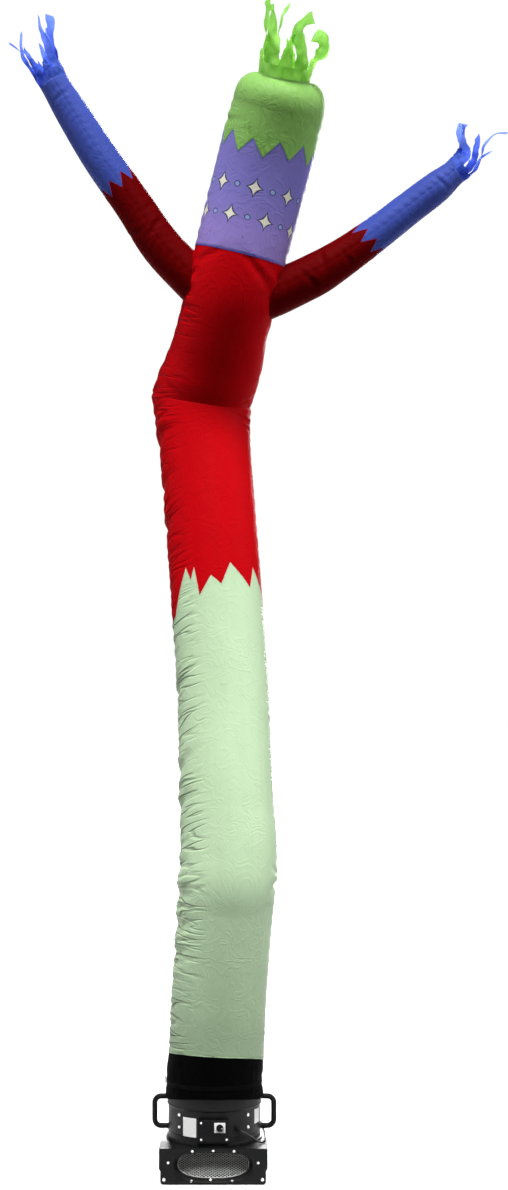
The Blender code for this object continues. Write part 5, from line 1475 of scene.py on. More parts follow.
@dataclass
class Fringe:
    """A narrow collar of cloth whose upper edge runs out into loose strips."""

    wardrobe: Wardrobe
    name: str
    node: str
    base: Array
    axis: Array
    radius: float
    flare: float
    height: float
    strips: Sequence[Strip]
    dye: Dye
    rests_on: str
    share: float = 0.90
    taper: float = 0.8
    thickness: float = 0.0009
    columns: int = 96
    steps: int = 44
    lanes: int = 6
    wave: float = 6.0

    def build(self) -> bpy.types.Object:
        """Make the collar and its strips as one piece of cloth."""
        angles = np.arange(self.columns) * 360.0 / self.columns
        level = np.linspace(0.0, 1.0, 9)[:, None]
        turn = np.radians(angles)
        ripple = 0.0012 * level * np.sin(turn * 17.0 + 1.4 * np.sin(turn * 3.0))
        radius = self.radius + self.flare * level ** 1.5 + ripple
        grid = np.array([around(self.base + self.axis * (0.0003 + self.height * h[0]), self.axis,
                                angles, r) for h, r in zip(level, radius)])
        piece = wall(self.name, grid, self.thickness)
        girth = 2.0 * pi * self.radius
        work = bmesh.new()
        work.from_mesh(piece.data)
        layer = work.loops.layers.uv[CLOTH_MAP]
        area = girth * self.height
        for strip in self.strips:
            area += self.add_strip(work, layer, strip)
        work.to_mesh(piece.data)
        work.free()
        soft(piece.data, 70.0)
        self.wardrobe.dress(piece, self.dye, nodes=[self.node])
        longest = self.height + max(s.length for s in self.strips)
        LOG.info("%s: %d faces", self.name, len(piece.data.polygons))
        return piece

    def add_strip(self, work: bmesh.types.BMesh, layer: bmesh.types.BMLayerItem,
                  strip: Strip) -> float:
        """Add one closed strip to the mesh.

        Args:
            work: The mesh being built.
            layer: Its map.
            strip: The strip's row of the table.

        Returns:
            The strip's flat area in square metres.
        """
        pitch = 360.0 / len(self.strips)
        along = Vector(self.axis).normalized()
        top = self.radius + self.flare - self.thickness * 0.5
        side = [Vector(around(self.base + self.axis * self.height, self.axis,
                              np.array([strip.angle + s * pitch * self.share / 2.0]),
                              np.array([top]))[0]) for s in (-1.0, 1.0)]
        wide = side[1] - side[0]
        root_width = wide.length
        wide.normalize()
        middle = Vector(self.base + self.axis * self.height)
        centre = (side[0] + side[1]) / 2.0
        out = (centre - middle).normalized()
        bow = top - (centre - middle).length
        step = strip.length / self.steps
        rings = []
        area = 0.0
        for index in range(self.steps + 1):
            t = index / self.steps
            early, late = min(1.0, 2.0 * t), max(0.0, 2.0 * t - 1.0)
            ease = early * early * (3.0 - 2.0 * early)
            lean = strip.lean_mid * ease + (strip.lean_end - strip.lean_mid) * late
            sway = strip.sway_mid * ease + (strip.sway_end - strip.sway_mid) * late
            fade = min(1.0, t * 5.0)
            lean += fade * (self.wave * sin(9.0 * t + strip.angle)
                            + 5.0 * sin(23.0 * t + strip.angle * 0.7))
            sway += fade * 6.0 * sin(15.0 * t + strip.angle * 1.3)
            heading = turned(turned(along, wide, -lean), out, -sway)
            if index:
                centre = centre + heading * step
            width = root_width * (1.0 + (strip.tip - 1.0) * t ** self.taper)
            width *= 1.0 + 0.06 * sin(31.0 * t + strip.angle)
            area += width * step if index else 0.0
            across = turned(turned(wide, out, -sway), heading, strip.twist * t
                            + fade * 10.0 * sin(12.0 * t + strip.angle))
            flat = heading.cross(across).normalized()
            curl = bow * (1.0 - t) + root_width * 0.16 * t * sin(7.0 * t + strip.angle)
            ring = []
            for face in (-1.0, 1.0):
                lanes = range(self.lanes + 1) if face < 0.0 else range(self.lanes, -1, -1)
                for lane in lanes:
                    w = 2.0 * lane / self.lanes - 1.0
                    lift = -curl * (1.0 - w * w)
                    cut = 0.012 * w * t ** 8
                    ring.append(centre + across * (w * width / 2.0) + heading * cut
                                + flat * (lift + face * self.thickness * 0.5))
            rings.append([work.verts.new(p) for p in ring])
        count = len(rings[0])
        for row, (low, high) in enumerate(zip(rings, rings[1:])):
            for k in range(count):
                after = (k + 1) % count
                face = work.faces.new((low[k], low[after], high[after], high[k]))
                face.smooth = True
                for loop, (r, c) in zip(face.loops, ((row, k), (row, k + 1),
                                                    (row + 1, k + 1), (row + 1, k))):
                    lane = c if c <= self.lanes else 2 * self.lanes + 1 - c
                    loop[layer].uv = (lane / self.lanes * root_width + strip.angle * 0.01,
                                      r * step)
        for ring in (rings[0], rings[-1]):
            work.faces.new(ring)
        made = [f for f in work.faces if f.verts[0] in set(sum(rings, []))]
        bmesh.ops.recalc_face_normals(work, faces=made)
        return area


@dataclass
class BaseSleeve:
    """Black sleeve strapped round the blower's neck, with its strap and buckle."""

    wardrobe: Wardrobe
    body: DancerBody
    rows: tuple = ((0.340, 0.2292), (0.382, 0.2278), (0.412, 0.2239), (0.448, 0.2239),
                   (0.478, 0.2270), (0.510, 0.2262), (0.535, 0.2245))
    columns: int = 160
    thickness: float = 0.0014
    map_radius: float = 0.226
    upright_to: float = 0.448
    hem_top: float = 0.346
    hem_proud: float = 0.0008
    pleat_depth: float = 0.0014
    slack_depth: float = 0.0016
    hem_rise: float = 0.042
    arch: float = 0.030
    arch_reach: float = 20.0
    strap_z: float = 0.430
    strap_low: float = 0.4185
    strap_high: float = 0.4415
    strap_inner: float = 0.2242
    strap_thickness: float = 0.0020
    buckle_angle: float = -88.0
    buckle_half_width: float = 0.013
    buckle_depth: float = 0.006
    buckle_height: float = 0.041

    def build(self) -> None:
        """Make the sleeve and its strap."""
        angles = np.arange(self.columns) * 360.0 / self.columns
        turn = np.radians(angles)
        table = np.array(self.rows)
        low, top = table[0, 0], table[-1, 0]
        grid, heights = [], []
        for z in np.concatenate((np.linspace(low, self.hem_top, 4),
                                 np.linspace(self.hem_top + 0.006, top, 52))):
            lean = max(0.0, (z - self.upright_to) / (top - self.upright_to))
            direction = UP + (self.body.lower.direction(np.array(z)) - UP) * lean
            centre = self.body.lower.centre(np.array(z)) if lean > 0.0 else UP * z
            radius = float(smooth_values(table[:, 0], table[:, 1:], np.array(z))[0])
            loose = 1.0 - np.exp(-((z - self.strap_z) / 0.022) ** 2)
            pleats = np.sin(turn * 31.0 + 2.0 * np.sin(turn * 5.0) + 0.8 * np.sin(z * 40.0)) \
                + 0.6 * np.sin(turn * 13.0 + z * 22.0)
            depth = self.pleat_depth * np.exp(-((z - self.strap_z) / 0.060) ** 2) * loose
            slack = self.slack_depth * (1.0 - smooth_step(0.345, 0.400, np.array(z)))
            radii = radius + depth * pleats + slack * np.sin(turn * 9.0 + 1.0) \
                + (self.hem_proud if z <= self.hem_top else 0.0)
            grid.append(around(centre, direction / np.linalg.norm(direction), angles, radii))
            heights.append(np.full(len(angles), z))
        grid = np.array(grid)
        from_side = abs(abs(wrapped(angles)) - 90.0)
        near = np.clip(1.0 - from_side / self.arch_reach, 0.0, 1.0)
        lift = self.arch * near * (1.0 - 0.12 * np.sin(near * pi))
        fade = 1.0 - smooth_step(low, 0.418, np.array(heights))
        grid[..., 2] += (lift + front_rise(angles, self.hem_rise)) * fade
        risen = smooth_step(0.455, top, np.array(heights))
        edge = self.body.surface(self.body.sleeve_edge(angles) - CLEAR, angles)
        grid += risen[..., None] * (edge - grid[-1])
        piece = wall("sleeve_cloth", grid, self.thickness,
                     np.radians(np.append(angles, 360.0)) * self.map_radius, np.array(heights))
        self.wardrobe.dress(piece, Dye.BLACK, nodes=["base_sleeve"])
        self.strap()
        LOG.info("base sleeve and strap")

    def strap(self) -> None:
        """Webbing strap and its cam buckle."""
        angles = np.arange(144) * 2.5
        outer = self.strap_inner + self.strap_thickness
        heights = np.linspace(self.strap_low, self.strap_high, 7)
        edge = np.array((0.0006, 0.0001, 0.0, 0.0, 0.0, 0.0001, 0.0006))
        grid = np.array([around(UP * z, UP, angles, np.full(len(angles), outer - e))
                         for z, e in zip(heights, edge)])
        piece = wall("strap_webbing", grid, self.strap_thickness - CLEAR)
        self.wardrobe.dress(piece, Dye.BRAID, nodes=["cinch_strap"])
        out, side = bearing(self.buckle_angle)
        middle = out * (outer + CLEAR) + UP * (self.strap_low + self.strap_high) / 2.0
        profile = [(0.0, -0.5), (0.6, -0.5), (1.0, -0.36), (1.0, -0.10), (0.6, 0.0),
                   (1.0, 0.12), (1.3, 0.40), (0.7, 0.5), (0.0, 0.5)]
        grid = np.array([[middle + out * (self.buckle_depth * depth) + side * half
                          + UP * (self.buckle_height * height) for depth, height in profile]
                         for half in (-self.buckle_half_width, self.buckle_half_width)])
        buckle = bevelled(link("cam_buckle", grid_solid("cam_buckle", grid)), 0.0009)
        self.wardrobe.dress(buckle, Hard.STEEL, nodes=["strap_buckle"])


@dataclass
class Seams:
    """Beads and stitches along the seams of the cloth."""

    wardrobe: Wardrobe
    body: DancerBody
    arms: Sequence[DancerArm]
    proud: float = 0.0003
    stitch: dict = field(default_factory=lambda: {"Pitch": 0.0065, "Length": 0.0042,
                                                  "Radius": 0.0006})

    def build(self) -> None:
        """Lay the beads, then the rows of stitches beside them."""
        body = self.body
        angles = body.columns()
        closed = np.append(angles, angles[0] + 360.0)
        hem, foot = body.hem(closed), body.sleeve_edge(closed)
        head = np.append(body.head_columns(), 360.0)
        line, neck = body.head_edge(head), np.full(head.shape, body.neck)
        for name, dye, at, turn, out, radius in (
                ("sleeve_bead", Dye.GREEN, foot + 0.0030, closed, 0.0004, 0.0024),
                ("hem_bead", Dye.THREAD, hem, closed, 0.0002, 0.0012),
                ("hairline_bead", Dye.LIME, line, head, 0.0002, 0.0010),
                ("neck_bead", Dye.LAVENDER, neck, head, 0.0004, 0.0016)):
            self.bead(name, dye, body.surface(at, turn, out)[:-1], radius)
        for name, dye, rows in (
                ("trouser_stitches", Dye.GREEN, ((foot + 0.008, closed), (foot + 0.015, closed),
                                                 (hem - 0.009, closed))),
                ("shirt_stitches", Dye.RED, ((hem + 0.009, closed), (neck - 0.008, head))),
                ("head_stitches", Dye.LAVENDER, ((neck + 0.008, head), (line - 0.008, head))),
                ("crown_stitches", Dye.LIME, ((line + 0.008, head),))):
            lines = [body.surface(at, turn, self.proud) for at, turn in rows]
            self.lay(stitch_maker(), path_mesh(name, lines), dye, self.stitch)
        for arm in self.arms:
            turn = arm.angles()
            self.bead(arm.side + "_arm_bead", Dye.RED, arm.surface(arm.edge(turn), turn), 0.0010)
            self.bead(arm.side + "_root_bead", Dye.RED,
                      arm.surface(arm.root(body, turn) + 0.001, turn), 0.0013)
        LOG.info("seams")

    def bead(self, name: str, dye: Dye, ring: Array, radius: float) -> None:
        """Lay a round bead along a ring."""
        self.lay(rib_maker(), path_mesh(name, [ring], True), dye,
                 {"Radius": radius, "Sides": 6.0})

    def lay(self, maker: Maker, lines: bpy.types.Mesh, dye: Dye, settings: dict) -> None:
        """Make a seam along lines, give it a map in metres and put it on the dancer."""
        piece = maker.run(lines.name, lines, self.wardrobe.get(dye), settings)
        mesh = piece.data
        layer = mesh.uv_layers.get(CLOTH_MAP) or mesh.uv_layers.new(name=CLOTH_MAP)
        places = np.zeros(len(mesh.vertices) * 3)
        mesh.vertices.foreach_get("co", places)
        corners = np.zeros(len(mesh.loops), np.int32)
        mesh.loops.foreach_get("vertex_index", corners)
        places = places.reshape(-1, 3)[corners]
        layer.data.foreach_set("uv", places[:, [0, 2]].astype(np.float32).ravel())
        self.wardrobe.dress(piece, dye)


@dataclass
class Dancer:
    """The whole blown figure."""

    wardrobe: Wardrobe
    left_rows: tuple = (
        (-0.010, 0.040, 4.143, 0.206), (-0.120, 0.040, 4.253, 0.206),
        (-0.250, 0.044, 4.390, 0.199), (-0.394, 0.050, 4.602, 0.184),
        (-0.559, 0.060, 4.840, 0.177), (-0.710, 0.075, 5.085, 0.157),
        (-0.780, 0.080, 5.204, 0.143), (-0.804, 0.085, 5.250, 0.148))
    right_rows: tuple = (
        (0.172, 0.040, 4.124, 0.218), (0.296, 0.040, 4.176, 0.218),
        (0.400, 0.036, 4.222, 0.210), (0.494, 0.033, 4.268, 0.205),
        (0.574, 0.030, 4.316, 0.191), (0.774, 0.035, 4.458, 0.167),
        (0.929, 0.045, 4.581, 0.158), (1.087, 0.055, 4.705, 0.147),
        (1.151, 0.060, 4.760, 0.124), (1.192, 0.065, 4.795, 0.126))
    hair: tuple = strip_rows((
        (-36, 0.270, 1.00, 2, 0, -10, -34, 150), (0, 0.170, 0.25, -8, -14, 6, 10, 60),
        (36, 0.285, 0.90, 4, -6, -30, 84, 20), (72, 0.205, 0.90, -38, 112, 0, 4, 110),
        (108, 0.150, 0.40, -50, 20, 0, 0, 70), (144, 0.060, 0.30, 0, 6, 6, 10, 20),
        (180, 0.100, 0.30, 4, 0, 8, 16, -20), (216, 0.255, 0.50, 4, -6, -4, -18, 80),
        (252, 0.265, 0.70, -6, -14, -4, 4, 60), (288, 0.140, 0.30, 14, 16, 8, 12, 25)))
    left_hand: tuple = strip_rows((
        (-80, 0.265, 0.25, 2, 36, -4, 4, 60), (-40, 0.165, 0.30, 2, 0, -8, -2, 30),
        (0, 0.055, 0.40, 0, 4, 4, 10, 10), (40, 0.275, 0.60, -6, 12, 6, 24, -120),
        (80, 0.265, 1.00, -18, -26, -10, 4, 80), (120, 0.250, 0.80, -12, -20, 4, -14, -60),
        (160, 0.190, 0.35, -4, -8, 4, -16, 35), (200, 0.110, 0.30, 0, 8, -4, -14, -25),
        (240, 0.265, 0.20, 0, -34, 2, -8, 40)))
    right_hand: tuple = strip_rows((
        (-84, 0.070, 0.40, -14, -24, -6, 0, 25), (-44, 0.090, 0.35, 8, 14, -44, -50, -30),
        (-10, 0.220, 1.00, 0, 6, -78, -20, 20), (36, 0.175, 0.60, 0, 10, -46, -54, -40),
        (76, 0.320, 0.35, 42, -46, 0, 10, 60), (116, 0.180, 0.25, 26, -20, 0, -6, 30),
        (156, 0.090, 0.35, 0, -6, 20, 34, 20), (196, 0.120, 0.35, -4, -8, 34, 50, -25),
        (236, 0.190, 0.80, -6, -10, 54, 56, 20)))
    left_folds: tuple = fold_rows((
        (0.330, 120, 60, 5, 14, 0.3), (0.395, 140, 50, 4.5, 12, -0.4), (0.440, 20, 60, 5, 14, 0.5),
        (0.470, -60, 60, 4.5, 13, -0.4), (0.540, 40, 50, 3, 12, 0.3), (1.050, 180, 46, 3, 12, 0.3),
        (1.225, 0, 70, 3.5, 11, 0.2), (1.265, 170, 70, 3.5, 11, -0.2)))
    right_folds: tuple = fold_rows((
        (0.300, 20, 60, 5, 14, 0.4), (0.345, 180, 60, 5, 14, 0.4), (0.400, -20, 70, 6, 14, -0.5),
        (0.440, 160, 60, 4.5, 12, 0.4), (0.500, 30, 50, 3.5, 12, 0.3), (0.860, 180, 46, 3, 12, 0.3),
        (1.080, 0, 70, 3.5, 11, 0.2), (1.115, 170, 70, 4, 11, -0.2)))

    def build(self) -> None:
        """Cut and sew every panel."""
        body = DancerBody(self.wardrobe)
        BaseSleeve(self.wardrobe, body).build()
        body.trousers()
        body.shirt()
        body.head()
        body.crown()
        arms = [DancerArm(self.wardrobe, "left", Tube(self.left_rows, False), 0.705, 1.316,
                          self.left_folds, 2.1),
                DancerArm(self.wardrobe, "right", Tube(self.right_rows, False), 0.620, 1.175,
                          self.right_folds, 4.3)]
        for arm in arms:
            arm.build(body)
        base, axis = body.vent()
        Fringe(self.wardrobe, "hair_ribbons", "hair_fringe", base, axis, 0.1240, 0.006, 0.055,
               self.hair, Dye.HAIR, "crown_cloth").build()
        for arm, height, strips in ((arms[0], 0.046, self.left_hand),
                                    (arms[1], 0.042, self.right_hand)):
            at = np.array(arm.cuff)
            Fringe(self.wardrobe, arm.side + "_hand_ribbons", arm.side + "_cuff_fringe",
                   arm.tube.centre(at), arm.tube.direction(at), float(arm.tube.radius(at)),
                   0.003, height, strips, Dye.BLUE, arm.side + "_forearm_cloth").build()
        Seams(self.wardrobe, body, arms).build()


# -------------------------------------------------------------------- the blower

@dataclass
class Cabinet:
    """Sheet metal cabinet with its oval intake, guard and screws."""

    wardrobe: Wardrobe
    half_width: float = 0.2495
    foot_half_width: float = 0.2425
    half_depth: float = 0.250
    height: float = 0.165
    step_low: float = 0.060
    step_high: float = 0.074
    corner: float = 0.016
    wall: float = 0.003
    mouth_half_width: float = 0.186
    mouth_half_height: float = 0.069
    mouth_z: float = 0.080
    lip_radius: float = 0.0026
    funnel_depth: float = 0.045
    funnel_end: float = 0.90
    wire_angle: float = 32.0
    wire_pitch: float = 0.0092
    wire_radius: float = 0.0018
    rim_radius: float = 0.0022
    shortest_wire: float = 0.006
    face_proud: float = 0.0004
    screws_at: tuple = ((-0.096, 0.153), (0.0, 0.154), (0.096, 0.153), (-0.207, 0.101),
                        (0.207, 0.100), (-0.100, 0.018), (-0.012, 0.024), (0.088, 0.018))
    screw: tuple = (0.0044, 0.0026)

    def outline(self, inset: float, bend_steps: int = 6) -> list[tuple[float, float]]:
        """Front view: narrow foot, stepped sides, round lower corners."""
        half, foot = self.half_width - inset, self.foot_half_width - inset
        right = [(foot - self.corner, inset)]
        for step in range(1, bend_steps + 1):
            turn = radians(-90.0 + 90.0 * step / bend_steps)
            right.append((foot - self.corner + self.corner * cos(turn),
                          inset + self.corner + self.corner * sin(turn)))
        right += [(foot, self.step_low), (half, self.step_high), (half, self.height - inset)]
        return right + [(-x, z) for x, z in reversed(right)]

    def oval(self, scale: float = 1.0, grow: float = 0.0, points: int = 96
             ) -> list[tuple[float, float]]:
        """Outline of the intake: flat along its top, full and round below."""
        turn = 2.0 * pi * np.arange(points) / points
        x = np.sign(np.cos(turn)) * abs(np.cos(turn)) ** 0.80
        z = np.sign(np.sin(turn)) * abs(np.sin(turn)) ** np.where(np.sin(turn) > 0.0, 0.62, 0.92)
        return [((self.mouth_half_width * scale + grow) * a,
                 self.mouth_z + (self.mouth_half_height * scale + grow) * b)
                for a, b in zip(x, z)]

    def build(self) -> None:
        """Make every piece of the cabinet."""
        self.wardrobe.repaint("blower_box", Hard.PAINT)
        self.funnel()
        self.guard()
        self.flange()
        self.screws()
        LOG.info("cabinet")

    def funnel(self) -> None:
        """Smooth oval funnel behind the mouth."""
        mouth = np.array(self.oval())
        rows = []
        for share in np.linspace(0.0, 1.0, 7):
            scale = np.interp(share, (0.0, 0.25, 1.0), (1.0, 0.985, self.funnel_end))
            y = -self.half_depth + self.funnel_depth * share
            rows.append([(x * scale, y, self.mouth_z + (z - self.mouth_z) * scale)
                         for x, z in mouth])
        piece = wall("intake_funnel", np.array(rows), self.wall)
        self.wardrobe.dress(piece, Hard.PAINT, nodes=["intake_duct"])

    def flange(self) -> None:
        """Rolled lip round the mouth."""
        y = -self.half_depth - self.face_proud
        ring = np.array([(x, y, z) for x, z in self.oval(1.0, 0.001)])
        bead(self.wardrobe, "mouth_lip", [ring], Hard.PAINT, self.lip_radius, 10.0)

    def guard(self) -> None:
        """Crossed wires clipped to the funnel's inner end, in a flat frame."""
        y = -self.half_depth + self.funnel_depth + 0.0015
        inside = self.oval(self.funnel_end, -0.004, 120)
        lines = []
        for sign, depth in ((1.0, 0.0), (-1.0, 0.0012)):
            run = Vector((cos(radians(self.wire_angle)), sign * sin(radians(self.wire_angle))))
            normal = Vector((-run.y, run.x))
            reach = self.mouth_half_width * 1.2
            count = int(reach / self.wire_pitch)
            for k in range(-count, count + 1):
                ends = self.clip(inside, normal * (k * self.wire_pitch), run)
                if ends:
                    lines.append(np.array([(p.x, y + depth, self.mouth_z + p.y) for p in ends]))
        bead(self.wardrobe, "guard_wires", lines, Hard.WIRE, self.wire_radius, 4.0, False,
             nodes=["intake_grille"])
        ring = np.array([(x, y, z) for x, z in self.oval(self.funnel_end, -0.003)])
        bead(self.wardrobe, "guard_rim", [ring], Hard.WIRE, self.rim_radius, 8.0)

    def clip(self, outline: Sequence[tuple[float, float]], point: Vector, run: Vector
             ) -> list[Vector]:
        """Where a line enters and leaves the outline, measured from its middle."""
        found = []
        corners = [Vector((x, z - self.mouth_z)) for x, z in outline]
        for a, b in zip(corners, corners[1:] + corners[:1]):
            side = b - a
            across = run.x * side.y - run.y * side.x
            if abs(across) < TINY:
                continue
            gap = a - point
            t = (gap.x * side.y - gap.y * side.x) / across
            s = (gap.x * run.y - gap.y * run.x) / across
            if 0.0 <= s < 1.0:
                found.append(t)
        if len(found) < 2 or max(found) - min(found) < self.shortest_wire:
            return []
        return [point + run * min(found), point + run * max(found)]

    def screws(self) -> None:
        """Small bright screws on the front, and the two big ones low down."""
        y = -self.half_depth - self.face_proud
        heads(self.wardrobe, "cabinet_screws",
              [(Vector((x, y, z)), FRONT) for x, z in self.screws_at], *self.screw)
        for node in ("foot_bolt_left", "foot_bolt_right"):
            self.wardrobe.repaint(node, Hard.ZINC)


@dataclass
class FanDrum:
    """Round duct with handles, bolts, plates and the switch housing."""

    wardrobe: Wardrobe
    radius: float = 0.216
    inner: float = 0.2085
    lip_low: float = 0.326
    lip_top: float = 0.334
    lip_radius: float = 0.2215
    neck_radius: float = 0.2207
    neck_top: float = 0.462
    control_face: float = 0.238
    control_half: float = 0.0725
    control_low: float = 0.190
    control_high: float = 0.290
    switch_x: float = 0.030
    switch_z: float = 0.257
    handle_low: float = 0.214
    handle_high: float = 0.352
    handle_reach: float = 0.0523
    tube_radius: float = 0.0125
    bend: float = 0.030
    plate_half: tuple = (0.0255, 0.023)
    plate_depth: float = 0.003
    marks_at: tuple = (0.0188, 0.0216)
    knob_radius: float = 0.0165
    knob_height: float = 0.008
    grip_height: float = 0.016
    grip_half: float = 0.004
    screws_at: tuple = ((-0.056, 0.279), (-0.056, 0.203), (0.062, 0.203))
    screw: tuple = (0.0036, 0.0024)
    plates: tuple = ((-40.5, -21.5, 0.204, 0.291), (61.0, 75.0, 0.246, 0.312))
    rivet: tuple = (0.0016, 0.0012)

    def build(self) -> None:
        """Make every piece on the drum."""
        self.shell()
        for side, sign in (("left", -1.0), ("right", 1.0)):
            self.handle(side, sign)
        self.control()
        self.switch()
        self.fasteners()
        for node in ("rating_plate", "side_plate"):
            self.wardrobe.repaint(node, Hard.LABEL)
        LOG.info("fan drum")

    def shell(self) -> None:
        """Turned shell with its rolled foot and lip."""
        r, lip = self.radius, self.lip_radius
        profile = [(self.inner, 0.1653), (0.2252, 0.1653), (0.226, 0.1661), (0.226, 0.1712),
                   (0.2252, 0.1722), (0.2185, 0.1745), (r + 0.0006, 0.1772), (r, 0.180),
                   (r, 0.2005), (r + 0.0014, 0.2020), (r + 0.0014, 0.2040), (r, 0.2055),
                   (r, 0.318), (r + 0.0016, 0.3222), (lip - 0.0012, 0.3252),
                   (lip, 0.3270), (lip, 0.3326), (lip - 0.0006, 0.3338),
                   (self.neck_radius, self.lip_top), (self.neck_radius, self.neck_top),
                   (self.neck_radius - 0.0035, self.neck_top),
                   (self.neck_radius - 0.0035, self.lip_low), (self.inner, self.lip_low)]
        piece = link("fan_drum_shell", lathe("fan_drum_shell", profile, 144))
        self.wardrobe.dress(piece, Hard.PAINT, nodes=["fan_drum"])

    def handle(self, side: str, sign: float) -> None:
        """Bent tube handle with a flat foot at each end."""
        bar = self.radius + self.handle_reach + self.tube_radius
        bend = [(bar - self.bend, self.handle_low)]
        for step in range(1, 9):
            turn = radians(-90.0 + 90.0 * step / 8)
            bend.append((bar - self.bend + self.bend * cos(turn),
                         self.handle_low + self.bend + self.bend * sin(turn)))
        route = [(self.radius + CLEAR, self.handle_low)] + bend
        route += [(r, self.handle_low + self.handle_high - z) for r, z in reversed(bend)]
        route.append((self.neck_radius + CLEAR, self.handle_high))
        grid = []
        turn = 2.0 * pi * np.arange(24) / 24
        for index, (r, z) in enumerate(route):
            before, after = route[max(index - 1, 0)], route[min(index + 1, len(route) - 1)]
            run = np.array((after[0] - before[0], after[1] - before[1]))
            run = run / np.linalg.norm(run)
            across = self.tube_radius * np.cos(turn)
            grid.append(np.stack((sign * (r - run[1] * across), self.tube_radius * np.sin(turn),
                                  z + run[0] * across), axis=1))
        name = side + "_grab_handle"
        self.wardrobe.dress(link(name, grid_solid(name, np.array(grid), 50.0)), Hard.PLASTIC,
                            nodes=[side + "_handle"])

    def control(self) -> None:
        """Rounded switch housing, flat in front and curved behind."""
        half_angle = np.arcsin(self.control_half / self.radius)
        reach = self.radius + CLEAR
        back = [(reach * sin(t), -reach * cos(t))
                for t in np.linspace(half_angle, -half_angle, 25)]
        front = [(-self.control_half, -self.control_face), (self.control_half, -self.control_face)]
        piece = link("switch_housing", prism("switch_housing", back + front,
                                             self.control_low, self.control_high, "z"))
        bevelled(piece, 0.0035, 4, 40.0)
        self.wardrobe.dress(piece, Hard.PLASTIC, nodes=["control_box"])

    def switch(self) -> None:
        """White plate, its ring of marks, and the knob that turns on it."""
        x, z = self.switch_x, self.switch_z
        wide, high = self.plate_half
        back = -self.control_face - 0.0003
        front = back - self.plate_depth
        outline = [(x - wide, z - high), (x + wide, z - high),
                   (x + wide, z + high), (x - wide, z + high)]
        name = "white_switch_plate"
        plate = bevelled(link(name, prism(name, outline, front, back, "y")), 0.0010, 3)
        self.wardrobe.dress(plate, Hard.WHITE, nodes=["switch_plate"])
        marks = [[(x + cos(turn) * out, front - 0.0002, z + sin(turn) * out)
                  for out in self.marks_at] for turn in np.radians((0.0, 45.0, 90.0))]
        bead(self.wardrobe, "switch_marks", np.array(marks), Hard.PLASTIC, 0.0005, 4.0, False)
        self.knob(Vector((x, front - 0.0003, z)))

    def knob(self, pivot: Vector) -> None:
        """Round knob with a raised bar and a white pointer line."""
        radius, height, grip = self.knob_radius, self.knob_height, self.grip_height
        turn = 2.0 * pi * np.arange(40) / 40
        rings = []
        for share, size in ((0.0, 1.0), (0.5, 0.985), (0.86, 0.94), (1.0, 0.86)):
            rings.append([(pivot.x + radius * size * cos(t), pivot.y - height * share,
                           pivot.z + radius * size * sin(t)) for t in turn])
        base = grid_solid("knob_base", np.array(rings), 30.0)
        low, high = pivot.x - radius * 0.9, pivot.x + 0.018
        under, over = pivot.z - self.grip_half, pivot.z + self.grip_half
        bar = link("knob_bar", prism("knob_bar", [(low, under), (high, under), (high, over),
                                                  (low, over)],
                                     pivot.y - grip, pivot.y - height * 0.5, "y"))
        bevelled(bar, 0.0012, 3)
        work = bmesh.new()
        work.from_mesh(base)
        work.from_mesh(bar.data)
        work.to_mesh(base)
        work.free()
        bpy.data.objects.remove(bar, do_unlink=True)
        piece = link("switch_dial", soft(base, 35.0))
        self.wardrobe.dress(piece, Hard.PLASTIC, KNOB, ["switch_knob"])
        y = pivot.y - grip
        line = np.array([(pivot.x + 0.006, y, pivot.z), (pivot.x + radius, y, pivot.z)])
        bead(self.wardrobe, "dial_pointer", [line], Hard.WHITE, 0.0007, 4.0, False, KNOB)

    def fasteners(self) -> None:
        """Housing screws, plate rivets and the drum's bolts."""
        y = -self.control_face - 0.0004
        heads(self.wardrobe, "housing_screws",
              [(Vector((x, y, z)), FRONT) for x, z in self.screws_at], *self.screw)
        rivets = []
        for start, end, low, high in self.plates:
            for angle in (start + 1.6, end - 1.6):
                out = bearing(angle)[0]
                rivets += [(Vector(out * (self.radius + 0.0015) + UP * z), Vector(out))
                           for z in (low + 0.006, high - 0.006)]
        heads(self.wardrobe, "plate_rivets", rivets, *self.rivet)
        for side in ("left", "right"):
            for level in ("low", "high"):
                self.wardrobe.repaint(f"drum_bolt_{side}_{level}", Hard.ZINC)


